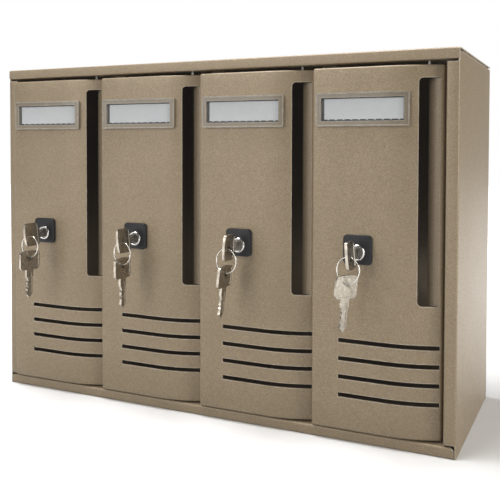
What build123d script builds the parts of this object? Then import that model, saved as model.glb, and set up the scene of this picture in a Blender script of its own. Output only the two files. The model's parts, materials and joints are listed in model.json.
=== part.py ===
from build123d import *
import math
import os

# Wall-hung bank of letter boxes in folded sheet steel: one casing, three
# partitions and a row of doors. Each door carries a clear name holder, a cam
# lock with its key in it, and a spare key on a ring. Millimetres.
#
# Working frame: x from the casing's left edge, y from the casing's front
# plane towards the back, z from the underside. write_part moves every solid
# so that the origin is the middle of the underside.

# ---- Overall sizes ----
UNIT_WIDTH = 407.0
UNIT_DEPTH = 150.0
UNIT_HEIGHT = 290.0
DOOR_COUNT = 4

# ---- Sheet metal ----
SHEET = 1.0               # thickness of every steel sheet
BEND = 0.5                # inside radius of every fold
TOP_LIP = 8.3             # height of the lip above the doors
BOTTOM_LIP = 8.0          # height of the lip below the doors
CHANNEL_GAP = 0.5         # channels of both lips to the stop flanges behind them
CHANNEL_TURN = 4.5        # height of the edge that closes each lip's channel
TOP_SEAM = 1.5            # open seam between the side panels and the top panel
LEFT_JAMB = 8.2           # width of the strip beside the first door
RIGHT_JAMB = 9.2          # width of the strip beside the last door
JAMB_GAP = 1.6            # gap between a jamb strip and the lips
LIP_END_GAP = 0.7         # gap at each end of the bottom lip
LIP_CORNER = 2.5          # radius of the bottom lip's upper corners
REAR_FLANGE = 12.0        # width of the side panels' rear flanges
TIE_FLANGE = 10.0         # width of the welded flanges inside the casing
FLANGE_RELIEF = 1.0       # room left where inner flanges meet at a corner
PANEL_GAP = 0.1           # between sheets that meet edge to face

# ---- Doors ----
LEFT_GAP = 0.5            # first door to the left jamb strip
RIGHT_GAP = 2.0           # last door to the right jamb strip
DOOR_GAP = 1.0            # between two doors
TOP_GAP = 2.9             # top lip to the doors
BOTTOM_GAP = 1.3          # bottom lip to the doors
DOOR_PROUD = 3.0          # how far the flat of a door stands in front of the casing
DOOR_FALL = 9.0           # how far the hinge edge lies behind the flat
CURVE_WIDTH = 40.0        # width of the curved part beside the hinge edge
DOOR_BACK = 13.0          # depth of the door's folded edges behind the front plane
HINGE_INSET = 11.5        # hinge axis from the hinge edge
HINGE_BACK = 8.0          # hinge axis behind the front plane
STOP_GAP = 1.5            # closed door to the stop flange behind it
STOP_WIDTH = 11.0         # width of a stop flange
WEB_GAP = 0.8             # closed door's lock edge to the partition's face

# ---- Hinge pins ----
PIN_RADIUS = 1.25
PIN_HEAD_RIM = 1.25       # how far a pin's head stands out around it
PIN_HEAD = 1.2
PIN_REACH = 5.0           # how far a pin passes beyond the door's flange
PIN_SEAT = 0.02           # radial clearance in the casing
PIN_RUN = 0.08            # radial clearance in the door

# ---- Mail slot and louvres ----
SLOT_TOP_MARGIN = 9.3     # door's top edge to the slot
SLOT_EDGE = 2.5           # strip of sheet left at the hinge edge
SLOT_WIDTH = 14.5
SLOT_CORNER = 3.0
SLOT_TO_LOUVRES = 28.0
FLAP_RADIUS = 11.0        # flap rolled inwards from the slot's hinge side
FLAP_SWEEP = 60.0         # degrees
FLAP_ROOT = 3.0           # degrees of the roll that lie inside the sheet
FLAP_SETBACK = 0.25
FLAP_END_GAP = 0.5
LOUVRE_COUNT = 4
LOUVRE_HEIGHT = 3.3
LOUVRE_PITCH = 13.63
LOUVRE_FROM_BOTTOM = 24.6
LOUVRE_LEFT = 21.0
LOUVRE_EDGE = 1.5

# ---- Name holder and card ----
HOLDER_LEFT = 3.2
HOLDER_TO_SLOT = 5.7
HOLDER_TOP_MARGIN = 18.6
HOLDER_HEIGHT = 24.8
HOLDER_THICKNESS = 2.4
HOLDER_RIM = 3.8
PANE_RECESS = 0.7
PANE_THICKNESS = 0.8
CARD_THICKNESS = 0.3
CARD_GAP = 0.2
CARD_MARGIN = 0.6
STUD_RADIUS = 1.0
STUD_LENGTH = 2.5
STUD_CLEARANCE = 0.1

# ---- Lock ----
LOCK_TO_CURVE = 20.125    # lock axis to the start of the door's curve
LOCK_FROM_BOTTOM = 133.6
PLATE_SIZE = 21.6
PLATE_RISE = 2.0          # middle of the plate above the lock axis
PLATE_THICKNESS = 2.6
PLATE_CORNER = 3.0
PLATE_BEVEL = 0.8
BARREL_WALL = 1.12
BARREL_RIM = 0.6          # how far the barrel's flange stands out around it
BARREL_FLANGE = 1.4
LOCK_HOLE_CLEARANCE = 0.1
PLUG_RADIUS = 4.2
PLUG_RUN = 0.08
PLUG_RECESS = 0.1
NUT_WALL = 1.6            # nut's flats to the barrel
NUT_THICKNESS = 3.0
CAM_GAP = 0.7             # cam to the stop flange in front of it
CAM_THICKNESS = 2.0
CAM_WIDTH = 12.0
CAM_TIP_GAP = 1.0         # cam's tip to the partition when locked
CAM_CORNER = 3.0
BARREL_TO_CAM = 0.4
SQUARE = 6.0              # drive square on the plug's tail
SQUARE_CLEARANCE = 0.05
SCREW_RADIUS = 2.0
SCREW_HEAD_RADIUS = 4.0
SCREW_HEAD = 2.2
SCREW_CROWN = 0.7
SCREW_LENGTH = 6.0
SCREW_SLOT = 1.0
WASHER_GAP = 0.05

# ---- Keys ----
KEY_THICKNESS = 2.0
BOW_LENGTH = 17.0
BOW_WIDTH = 20.0
BOW_CROWN = 1.2
BOW_OUTER_CORNER = 2.0
BOW_INNER_CORNER = 3.0
BOW_HOLE_RADIUS = 2.0
BOW_HOLE_INSET = 7.0
NECK_LENGTH = 6.4
NECK_WIDTH = 7.0
BLADE_LENGTH = 18.0
BLADE_WIDTH = 5.8
BLADE_POINT = 3.0
BLADE_GROOVE = 1.3
BLADE_GROOVE_RISE = 1.3   # groove's middle from the blade's middle
BLADE_GROOVE_DEPTH = 0.5
CUT_DEPTHS = (1.2, 0.6, 1.5, 0.9)
CUT_PITCH = 2.8
CUT_FLAT = 0.5
SHOULDER_GAP = 0.3        # key's shoulder to the plug's face
KEYWAY_CLEARANCE = 0.15
KEYWAY_END = 1.0
BOW_GAP = 2.7             # between the two keys' bows, which sets the ring's size
WIRE_RADIUS = 0.6
HANG_GAP = 0.3            # wire to the edge of the hole it hangs in

# How each door's keys stand, in degrees, one value for each door from the
# left and starting again past the last: the key in the lock turned about the
# lock axis, the ring and the spare key turned about the vertical, and both
# hanging out of plumb.
KEY_TURNS = (-7.0, -6.0, 4.0, -5.0)
RING_TURNS = (-4.0, -11.0, -10.0, -14.0)
SPARE_TURNS = (-11.0, -2.0, -2.0, -30.0)
HANG_LEANS = (2.0, 0.0, 7.0, 6.0)

# ---- Fasteners in the back ----
RIVET_RADIUS = 1.6
RIVET_HEAD_RADIUS = 3.2
RIVET_HEAD = 1.0
RIVET_CROWN = 0.8         # radius of a head's rounded edge
RIVET_TAIL_RADIUS = 2.3
RIVET_TAIL = 1.8
RIVET_CLEARANCE = 0.05
RIVET_INSET = 6.0
RIVET_END = 30.0
RIVET_ROWS = 3
WALL_HOLE_RADIUS = 3.5
WALL_HOLE_SIDE = 33.5     # wall-fixing hole from the casing's side
WALL_HOLE_END = 40.0      # and from its top and underside

# ---- Worked out from the above ----
JAMB_RUN = LEFT_JAMB + LEFT_GAP + RIGHT_GAP + RIGHT_JAMB
DOOR_WIDTH = (UNIT_WIDTH - JAMB_RUN - (DOOR_COUNT - 1) * DOOR_GAP) / DOOR_COUNT
DOOR_PITCH = DOOR_WIDTH + DOOR_GAP
DOOR_BOTTOM = BOTTOM_LIP + BOTTOM_GAP
DOOR_TOP = UNIT_HEIGHT - TOP_LIP - TOP_GAP
DOOR_HEIGHT = DOOR_TOP - DOOR_BOTTOM
CURVE_START = DOOR_WIDTH - CURVE_WIDTH
CURVE_RADIUS = (CURVE_WIDTH**2 + DOOR_FALL**2) / (2 * DOOR_FALL)
HINGE_X = DOOR_WIDTH - HINGE_INSET
PIN_HEAD_RADIUS = PIN_RADIUS + PIN_HEAD_RIM
STOP_FRONT = DOOR_BACK + STOP_GAP
CHANNEL_DEPTH = STOP_FRONT - CHANNEL_GAP
SIDE_TOP = UNIT_HEIGHT - SHEET - TOP_SEAM
JAMB_BOTTOM = BOTTOM_LIP + JAMB_GAP
JAMB_TOP = UNIT_HEIGHT - TOP_LIP - JAMB_GAP
BACK_INNER = UNIT_DEPTH - 2 * SHEET
SLOT_RIGHT = DOOR_WIDTH - SLOT_EDGE
SLOT_LEFT = SLOT_RIGHT - SLOT_WIDTH
LOUVRE_BOTTOM = DOOR_BOTTOM + LOUVRE_FROM_BOTTOM
LOUVRE_TOP = LOUVRE_BOTTOM + (LOUVRE_COUNT - 1) * LOUVRE_PITCH + LOUVRE_HEIGHT
SLOT_BOTTOM = LOUVRE_TOP + SLOT_TO_LOUVRES
SLOT_TOP = DOOR_TOP - SLOT_TOP_MARGIN
HOLDER_RIGHT = SLOT_LEFT - HOLDER_TO_SLOT
HOLDER_TOP = DOOR_TOP - HOLDER_TOP_MARGIN
HOLDER_BOTTOM = HOLDER_TOP - HOLDER_HEIGHT
LOCK_X = CURVE_START - LOCK_TO_CURVE
LOCK_Z = DOOR_BOTTOM + LOCK_FROM_BOTTOM
BARREL_RADIUS = PLUG_RADIUS + PLUG_RUN + BARREL_WALL
BARREL_FLANGE_RADIUS = BARREL_RADIUS + BARREL_RIM
NUT_WIDTH = 2 * (BARREL_RADIUS + NUT_WALL)
PLATE_FRONT = -DOOR_PROUD - PLATE_THICKNESS
BARREL_FRONT = PLATE_FRONT - BARREL_FLANGE
PLUG_FACE = BARREL_FRONT + PLUG_RECESS
CAM_FRONT = STOP_FRONT + SHEET + CAM_GAP
CAM_BACK = CAM_FRONT + CAM_THICKNESS
BARREL_END = CAM_FRONT - BARREL_TO_CAM
CAM_REACH = LOCK_X - WEB_GAP - SHEET - CAM_TIP_GAP
KEY_SHOULDER = PLUG_FACE - SHOULDER_GAP
BOW_HOLE = -NECK_LENGTH - BOW_LENGTH + BOW_HOLE_INSET
RING_DROP = BOW_HOLE_RADIUS - WIRE_RADIUS - HANG_GAP
RING_RADIUS = (BOW_WIDTH / 2 + BOW_GAP + BOW_HOLE_INSET - RING_DROP) / 2
PAST = 1.0                # how far a cutting tool passes through what it cuts
NEAR = 0.01               # tolerance when edges and corners are picked
FACING = 0.5              # least part of a face's normal that counts as facing a way


# ---- Helpers ----
def block(x0, x1, y0, y1, z0, z1):
    """A box between two corners."""
    size = (x1 - x0, y1 - y0, z1 - z0)
    middle = ((x0 + x1) / 2, (y0 + y1) / 2, (z0 + z1) / 2)
    return Pos(*middle) * Box(*size)


def rod(radius, y0, y1, x=0.0, z=0.0):
    """A cylinder lying along y."""
    return Pos(x, (y0 + y1) / 2, z) * Rot(90, 0, 0) * Cylinder(radius, y1 - y0)


def post(radius, x, y, z0, z1):
    """A cylinder standing along z."""
    return Pos(x, y, (z0 + z1) / 2) * Cylinder(radius, z1 - z0)


def left_skin(path, sides, thickness):
    """The far skin of a folded sheet, with mitred corners."""
    skin = [path[0] + sides[0] * thickness]
    for corner, before, after in zip(path[1:-1], sides, sides[1:]):
        skin.append(corner + (before + after) * (thickness / (1 + before.dot(after))))
    skin.append(path[-1] + sides[-1] * thickness)
    return skin


def folded_section(points, thickness=SHEET, bend=BEND):
    """Section of a folded sheet: the points follow one skin and the sheet is on their left."""
    path = [Vector(x, y) for x, y in points]
    runs = [(b - a).normalized() for a, b in zip(path, path[1:])]
    sides = [Vector(-run.Y, run.X) for run in runs]
    skin = left_skin(path, sides, thickness)
    turns = [before.cross(after).Z for before, after in zip(runs, runs[1:])]
    path_radii = [bend + thickness if turn > 0 else bend for turn in turns]
    skin_radii = [bend if turn > 0 else bend + thickness for turn in turns]
    outline = [*FilletPolyline(*path, radius=path_radii).edges()]
    outline += [*FilletPolyline(*skin, radius=skin_radii).edges()]
    outline += [Line(path[0], skin[0]), Line(path[-1], skin[-1])]
    return make_face(outline)


def folded_upright(points, z0, z1):
    """A sheet folded about upright lines, from its section in plan."""
    return Pos(0, 0, z0) * extrude(folded_section(points), z1 - z0)


def folded_lengthwise(points, x0, x1):
    """A sheet folded about lines along x, from its section in y and z."""
    return Pos(x0, 0, 0) * extrude(Plane.YZ * folded_section(points), x1 - x0)


def mirrored(solid):
    """The same piece for the casing's other side."""
    return Pos(UNIT_WIDTH, 0, 0) * mirror(solid, Plane.YZ)


def door_left(index):
    """Where a door's lock edge stands in the casing."""
    return LEFT_JAMB + LEFT_GAP + index * DOOR_PITCH


def web_left(index):
    """Left face of the partition that closes compartment `index` on its lock side."""
    return door_left(index) + WEB_GAP


def cut_all(solid, tools):
    """The solid with every tool cut from it."""
    for tool in tools:
        solid = solid - tool
    return solid


def write_part(name, solids):
    """Move one node's solids to the part's own frame and write them."""
    middle = Pos(-UNIT_WIDTH / 2, -UNIT_DEPTH / 2, 0)
    placed = [middle * solid for solid in solids]
    shape = placed[0] if len(placed) == 1 else Compound(placed)
    export_step(shape, f"parts/{name}.step")


# ---- Door surface ----
def skin_y(x, out=0.0):
    """Depth of the surface that lies `out` in front of the door's face, at x."""
    if x <= CURVE_START:
        return -DOOR_PROUD - out
    centre = CURVE_RADIUS - DOOR_PROUD
    return centre - math.sqrt((CURVE_RADIUS + out) ** 2 - (x - CURVE_START) ** 2)


def skin_line(x0, x1, out):
    """That surface's line in plan, from x0 to x1: the flat, then the curve."""
    turn = min(max(CURVE_START, x0), x1)
    edges = []
    if x0 < turn:
        edges.append(Line((x0, skin_y(x0, out)), (turn, skin_y(turn, out))))
    if turn < x1:
        middle = (turn + x1) / 2
        points = [(x, skin_y(x, out)) for x in (turn, middle, x1)]
        edges.append(ThreePointArc(*points))
    return edges


def skin_layer(x0, x1, low, high, z0, z1):
    """A layer that follows the door's face, `low` to `high` in front of it."""
    sides = [Line((x, skin_y(x, low)), (x, skin_y(x, high))) for x in (x0, x1)]
    face = make_face(skin_line(x0, x1, low) + skin_line(x0, x1, high) + sides)
    return Pos(0, 0, z0) * extrude(face, z1 - z0)


def pan_block(inset, back, radius):
    """The door's pan as a full block, drawn in by `inset`, its front edges rounded."""
    x0 = inset
    x1 = DOOR_WIDTH - inset
    corners = [(x1, skin_y(x1, -inset)), (x1, back), (x0, back), (x0, skin_y(x0, -inset))]
    sides = [Line(a, b) for a, b in zip(corners, corners[1:])]
    face = make_face(skin_line(x0, x1, -inset) + sides)
    solid = Pos(0, 0, DOOR_BOTTOM + inset) * extrude(face, DOOR_HEIGHT - 2 * inset)
    front = [f for f in solid.faces() if f.normal_at(f.center()).Y < -FACING]
    rim = [e for f in front for e in f.edges() if abs(e.center().X - CURVE_START) > NEAR]
    return fillet(rim, radius)


# ---- Casing ----
def top_panel():
    """Top sheet with its front lip folded back into a channel over the doors."""
    lip = UNIT_HEIGHT - TOP_LIP
    corner = lip + CHANNEL_TURN
    section = [(UNIT_DEPTH, UNIT_HEIGHT), (0, UNIT_HEIGHT), (0, lip)]
    section += [(CHANNEL_DEPTH, lip), (CHANNEL_DEPTH, corner)]
    panel = folded_lengthwise(section, 0, UNIT_WIDTH)
    front = STOP_FRONT + SHEET + FLANGE_RELIEF
    back = BACK_INNER - TIE_FLANGE - FLANGE_RELIEF
    under = UNIT_HEIGHT - SHEET
    flange = block(SHEET, 2 * SHEET, front, back, under - TIE_FLANGE, under)
    end = block(-PAST, SHEET + PANEL_GAP, SHEET, CHANNEL_DEPTH + PAST, lip - PAST, under)
    panel = panel - end - mirrored(end) + flange + mirrored(flange)
    pins = [post(PIN_RADIUS + PIN_SEAT, x, HINGE_BACK, lip - PAST, lip + SHEET + PAST)
            for x in hinge_xs()]
    return cut_all(panel, pins)


def bottom_panel():
    """Bottom sheet between the side panels, with the lip and channel below the doors."""
    section = [(CHANNEL_DEPTH, BOTTOM_LIP - CHANNEL_TURN), (CHANNEL_DEPTH, BOTTOM_LIP)]
    section += [(0, BOTTOM_LIP), (0, 0), (CHANNEL_DEPTH, 0)]
    end = SHEET + LIP_END_GAP
    lip = folded_lengthwise(section, end, UNIT_WIDTH - end)
    corner = block(end - PAST, end + LIP_CORNER, -PAST, CHANNEL_DEPTH + PAST,
                   BOTTOM_LIP - LIP_CORNER, BOTTOM_LIP + PAST)
    round_over = rod(LIP_CORNER, -2 * PAST, CHANNEL_DEPTH + 2 * PAST,
                     end + LIP_CORNER, BOTTOM_LIP - LIP_CORNER)
    corner = corner - round_over
    lip = lip - corner - mirrored(corner)
    rear = UNIT_DEPTH - SHEET - BEND
    sheet = block(SHEET, UNIT_WIDTH - SHEET, CHANNEL_DEPTH - SHEET, rear, 0, SHEET)
    front = STOP_FRONT + SHEET + FLANGE_RELIEF
    back = BACK_INNER - TIE_FLANGE - FLANGE_RELIEF
    flange = block(SHEET, 2 * SHEET, front, back, 0, TIE_FLANGE)
    panel = lip + sheet + flange + mirrored(flange)
    pins = [post(PIN_RADIUS + PIN_SEAT, x, HINGE_BACK, BOTTOM_LIP - SHEET - PAST, BOTTOM_LIP + PAST)
            for x in hinge_xs()]
    return cut_all(panel, pins)


def side_panel(jamb_width, with_stop):
    """Side sheet with its rear flange and its jamb strip, for the left side."""
    section = [(REAR_FLANGE, UNIT_DEPTH), (0, UNIT_DEPTH), (0, 0)]
    section += [(jamb_width, 0), (jamb_width, STOP_FRONT)]
    if with_stop:
        section.append((door_left(0) + WEB_GAP + SHEET + STOP_WIDTH, STOP_FRONT))
    jamb = folded_upright(section, JAMB_BOTTOM, JAMB_TOP)
    rear = section[:2] + [(0, STOP_FRONT)]
    web = folded_upright(rear, 0, SIDE_TOP)
    foot = block(0, SHEET, 0, STOP_FRONT, 0, JAMB_BOTTOM)
    head = block(0, SHEET, SHEET, STOP_FRONT, JAMB_TOP, SIDE_TOP)
    panel = jamb + web + foot + head
    holes = [rod(RIVET_RADIUS + RIVET_CLEARANCE, BACK_INNER, UNIT_DEPTH + PAST, RIVET_INSET, z)
             for z in rivet_heights()]
    return cut_all(panel, holes)


def back_panel():
    """Back sheet with flanges under the top and on the bottom, and its fixing holes."""
    depth = BACK_INNER - TIE_FLANGE
    outer = BACK_INNER + SHEET
    roof = UNIT_HEIGHT - SHEET
    section = [(depth, SHEET), (outer, SHEET), (outer, roof), (depth, roof)]
    end = SHEET + BEND + PANEL_GAP
    panel = folded_lengthwise(section, end, UNIT_WIDTH - end)
    rivets = [rod(RIVET_RADIUS + RIVET_CLEARANCE, BACK_INNER - PAST, outer + PAST, x, z)
              for x in rivet_columns() for z in rivet_heights()]
    fixings = [rod(WALL_HOLE_RADIUS, BACK_INNER - PAST, outer + PAST, x, z)
               for x in (WALL_HOLE_SIDE, UNIT_WIDTH - WALL_HOLE_SIDE)
               for z in (WALL_HOLE_END, UNIT_HEIGHT - WALL_HOLE_END)]
    return cut_all(panel, rivets + fixings)


def partition(index):
    """Wall between two compartments; its front flange stops the door and holds the cam."""
    x = web_left(index)
    section = [(x + TIE_FLANGE, BACK_INNER), (x, BACK_INNER), (x, STOP_FRONT)]
    section.append((x + SHEET + STOP_WIDTH, STOP_FRONT))
    roof = UNIT_HEIGHT - SHEET
    wall = folded_upright(section, SHEET, roof)
    rear = BACK_INNER - TIE_FLANGE - FLANGE_RELIEF
    front = STOP_FRONT + SHEET + FLANGE_RELIEF
    for z0, z1 in ((SHEET, 2 * SHEET), (roof - SHEET, roof)):
        wall = wall + block(x, x + TIE_FLANGE, front, rear, z0, z1)
    relief = 2 * SHEET + BEND
    for z0, z1 in ((SHEET - PAST, SHEET + relief), (roof - relief, roof + PAST)):
        wall = wall - block(x - PAST, x + TIE_FLANGE + PAST, rear, BACK_INNER + PAST, z0, z1)
    holes = [rod(RIVET_RADIUS + RIVET_CLEARANCE, BACK_INNER - SHEET - PAST, BACK_INNER + PAST,
                 x + RIVET_INSET, z) for z in rivet_heights()]
    return cut_all(wall, holes)


def hinge_xs():
    """Hinge axes across the casing."""
    return [door_left(index) + HINGE_X for index in range(DOOR_COUNT)]


def rivet_heights():
    """Heights of the rivets up the back."""
    step = (UNIT_HEIGHT - 2 * RIVET_END) / (RIVET_ROWS - 1)
    return [RIVET_END + row * step for row in range(RIVET_ROWS)]


def rivet_columns():
    """Places of the rivets across the back: both sides, then the partitions."""
    inner = [web_left(index) + RIVET_INSET for index in range(1, DOOR_COUNT)]
    return [RIVET_INSET, UNIT_WIDTH - RIVET_INSET] + inner


def hinge_pins():
    """A headed pin at the top and bottom of each door, fixed in the casing's channels."""
    pins = []
    lip = UNIT_HEIGHT - TOP_LIP
    for x in hinge_xs():
        upper = post(PIN_RADIUS, x, HINGE_BACK, DOOR_TOP - SHEET - PIN_REACH, lip + SHEET + PIN_HEAD)
        head = post(PIN_HEAD_RADIUS, x, HINGE_BACK, lip + SHEET, lip + SHEET + PIN_HEAD)
        pins.append(upper + head)
        floor = BOTTOM_LIP - SHEET
        lower = post(PIN_RADIUS, x, HINGE_BACK, floor - PIN_HEAD, DOOR_BOTTOM + SHEET + PIN_REACH)
        head = post(PIN_HEAD_RADIUS, x, HINGE_BACK, floor - PIN_HEAD, floor)
        pins.append(lower + head)
    return pins


def rivet(x, z, outer, stack):
    """A blind rivet: its domed head on the outer face, its tail inside `stack` of sheet."""
    head = rod(RIVET_HEAD_RADIUS, outer, outer + RIVET_HEAD, x, z)
    crown = [e for e in head.edges() if e.center().Y > outer + RIVET_HEAD / 2]
    head = fillet(crown, RIVET_CROWN)
    shank = rod(RIVET_RADIUS, outer - stack - RIVET_TAIL, outer + RIVET_HEAD / 2, x, z)
    tail = rod(RIVET_TAIL_RADIUS, outer - stack - RIVET_TAIL, outer - stack, x, z)
    return head + shank + tail


def casing_rivets():
    """Rivets through the back panel into the side panels and the partitions."""
    sides, inner = rivet_columns()[:2], rivet_columns()[2:]
    rivets = [rivet(x, z, UNIT_DEPTH, 2 * SHEET) for x in sides for z in rivet_heights()]
    rivets += [rivet(x, z, UNIT_DEPTH - SHEET, 2 * SHEET) for x in inner for z in rivet_heights()]
    return rivets


# ---- Door ----
def mail_slot():
    """Tool for the tall slot: rounded on the lock side, square beside the flap."""
    tool = block(SLOT_LEFT, SLOT_RIGHT, -2 * DOOR_PROUD, DOOR_BACK - SHEET, SLOT_BOTTOM, SLOT_TOP)
    corners = [e for e in tool.edges().filter_by(Axis.Y) if e.center().X < SLOT_LEFT + PAST]
    return fillet(corners, SLOT_CORNER)


def slot_flap():
    """Flap of the door's own sheet, rolled inwards from the slot's hinge side."""
    x = SLOT_RIGHT
    y = skin_y(x) + FLAP_SETBACK + FLAP_RADIUS
    root = -FLAP_ROOT

    def on_roll(radius, degrees):
        angle = math.radians(degrees)
        return (x - radius * math.sin(angle), y - radius * math.cos(angle))

    angles = (root, (root + FLAP_SWEEP) / 2, FLAP_SWEEP)
    inner_radius = FLAP_RADIUS - SHEET
    edges = [ThreePointArc(*[on_roll(radius, a) for a in angles])
             for radius in (FLAP_RADIUS, inner_radius)]
    edges += [Line(on_roll(FLAP_RADIUS, a), on_roll(inner_radius, a))
              for a in (root, FLAP_SWEEP)]
    height = SLOT_TOP - SLOT_BOTTOM - 2 * FLAP_END_GAP
    return Pos(0, 0, SLOT_BOTTOM + FLAP_END_GAP) * extrude(make_face(edges), height)


def stud_places():
    """Where the name holder's two studs pass through the door."""
    z = (HOLDER_BOTTOM + HOLDER_TOP) / 2
    inset = HOLDER_RIM / 2
    return [(HOLDER_LEFT + inset, z), (HOLDER_RIGHT - inset, z)]


def door_panel():
    """Door pressed from one sheet: flat, curved towards the hinge, edges folded back."""
    outer = pan_block(0, DOOR_BACK, BEND + SHEET)
    inner = pan_block(SHEET, DOOR_BACK + PAST, BEND)
    tools = [mail_slot()]
    right = DOOR_WIDTH - LOUVRE_EDGE
    for row in range(LOUVRE_COUNT):
        z = LOUVRE_BOTTOM + row * LOUVRE_PITCH
        tools.append(block(LOUVRE_LEFT, right, -2 * DOOR_PROUD, HINGE_BACK, z, z + LOUVRE_HEIGHT))
    tools.append(rod(BARREL_RADIUS + LOCK_HOLE_CLEARANCE, -2 * DOOR_PROUD, SHEET, LOCK_X, LOCK_Z))
    for x, z in stud_places():
        tools.append(rod(STUD_RADIUS + STUD_CLEARANCE, -2 * DOOR_PROUD, DOOR_BACK / 2, x, z))
    for z in (DOOR_BOTTOM, DOOR_TOP):
        tools.append(post(PIN_RADIUS + PIN_RUN, HINGE_X, HINGE_BACK, z - 2 * SHEET, z + 2 * SHEET))
    return cut_all(outer - inner, tools) + slot_flap()


def window():
    """Left, right, bottom and top of the name holder's window."""
    left = HOLDER_LEFT + HOLDER_RIM
    right = HOLDER_RIGHT - HOLDER_RIM
    return left, right, HOLDER_BOTTOM + HOLDER_RIM, HOLDER_TOP - HOLDER_RIM


def name_holder():
    """Clear holder that follows the door: a raised rim, a pane, and a pocket behind it."""
    left, right, bottom, top = window()
    body = skin_layer(HOLDER_LEFT, HOLDER_RIGHT, 0, HOLDER_THICKNESS, HOLDER_BOTTOM, HOLDER_TOP)
    pane_front = HOLDER_THICKNESS - PANE_RECESS
    recess = skin_layer(left, right, pane_front, HOLDER_THICKNESS + PAST, bottom, top)
    pocket = skin_layer(left, right, -PAST, pane_front - PANE_THICKNESS, bottom, top)
    body = body - recess - pocket
    for x, z in stud_places():
        y = skin_y(x)
        body = body + rod(STUD_RADIUS, y - HOLDER_THICKNESS / 2, y + STUD_LENGTH, x, z)
    return body


def name_card():
    """Paper card in the holder's pocket."""
    left, right, bottom, top = window()
    return skin_layer(left + CARD_MARGIN, right - CARD_MARGIN, CARD_GAP, CARD_GAP + CARD_THICKNESS,
                      bottom + CARD_MARGIN, top - CARD_MARGIN)


# ---- Lock ----
def lock_plate():
    """Square escutcheon with rounded corners and a bevelled face."""
    half = PLATE_SIZE / 2
    z = LOCK_Z + PLATE_RISE
    plate = block(LOCK_X - half, LOCK_X + half, PLATE_FRONT, -DOOR_PROUD, z - half, z + half)
    plate = fillet(plate.edges().filter_by(Axis.Y), PLATE_CORNER)
    face = plate.faces().sort_by(Axis.Y)[0]
    plate = chamfer(face.edges(), PLATE_BEVEL)
    return plate - rod(BARREL_RADIUS + LOCK_HOLE_CLEARANCE, PLATE_FRONT - PAST, PAST, LOCK_X, LOCK_Z)


def lock_barrel():
    """Fixed barrel of the cam lock: a bright rounded flange in front and a long body."""
    flange = rod(BARREL_FLANGE_RADIUS, BARREL_FRONT, PLATE_FRONT, LOCK_X, LOCK_Z)
    rim = [e for e in flange.edges() if e.center().Y < BARREL_FRONT + BARREL_FLANGE / 2]
    flange = fillet(rim, BARREL_FLANGE / 2)
    body = rod(BARREL_RADIUS, PLATE_FRONT - BARREL_FLANGE / 2, BARREL_END, LOCK_X, LOCK_Z)
    bore = rod(PLUG_RADIUS + PLUG_RUN, BARREL_FRONT - PAST, BARREL_END + PAST, LOCK_X, LOCK_Z)
    return flange + body - bore


def lock_nut():
    """Hexagon nut that clamps the barrel from inside the door."""
    corner_radius = NUT_WIDTH / math.sqrt(3)
    front = -DOOR_PROUD + SHEET
    nut = extrude(Plane.XZ * RegularPolygon(corner_radius, 6), NUT_THICKNESS)
    nut = Pos(LOCK_X, front + NUT_THICKNESS, LOCK_Z) * nut
    return nut - rod(BARREL_RADIUS + LOCK_HOLE_CLEARANCE, front - PAST, front + NUT_THICKNESS + PAST,
                     LOCK_X, LOCK_Z)


def turned(solid, index):
    """A piece of the lock's moving core, from lock coordinates to its turned place."""
    turn = KEY_TURNS[index % len(KEY_TURNS)]
    return Pos(LOCK_X, 0, LOCK_Z) * Rot(0, turn, 0) * solid


def lock_plug():
    """Turning plug with its keyway and the square tail that drives the cam."""
    plug = rod(PLUG_RADIUS, PLUG_FACE, BARREL_END)
    half = SQUARE / 2
    tail = block(-half, half, BARREL_END, CAM_BACK, -half, half)
    width = KEY_THICKNESS / 2 + KEYWAY_CLEARANCE
    height = BLADE_WIDTH / 2 + KEYWAY_CLEARANCE
    end = KEY_SHOULDER + BLADE_LENGTH + KEYWAY_END
    keyway = block(-width, width, PLUG_FACE - PAST, end, -height, height)
    screw_hole = rod(SCREW_RADIUS, CAM_BACK - SCREW_LENGTH, CAM_BACK + PAST)
    return plug + tail - keyway - screw_hole


def cam():
    """Flat cam, hanging down when unlocked, that swings behind the stop flange."""
    half = CAM_WIDTH / 2
    arm = block(-half, half, CAM_FRONT, CAM_BACK, -CAM_REACH, 0)
    arm = arm + rod(half, CAM_FRONT, CAM_BACK)
    tip = [e for e in arm.edges().filter_by(Axis.Y) if e.center().Z < -CAM_REACH + PAST]
    arm = fillet(tip, CAM_CORNER)
    hole = SQUARE / 2 + SQUARE_CLEARANCE
    return arm - block(-hole, hole, CAM_FRONT - PAST, CAM_BACK + PAST, -hole, hole)


def cam_screw():
    """Slotted screw that holds the cam on the plug."""
    seat = CAM_BACK + WASHER_GAP
    head = rod(SCREW_HEAD_RADIUS, seat, seat + SCREW_HEAD)
    rim = [e for e in head.edges() if e.center().Y > seat + SCREW_HEAD / 2]
    head = fillet(rim, SCREW_CROWN)
    slot = block(-SCREW_HEAD_RADIUS, SCREW_HEAD_RADIUS, seat + SCREW_HEAD / 2, seat + SCREW_HEAD + PAST,
                 -SCREW_SLOT / 2, SCREW_SLOT / 2)
    shank = rod(SCREW_RADIUS, CAM_BACK - SCREW_LENGTH + PAST, seat + SCREW_HEAD / 2)
    return head - slot + shank


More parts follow.
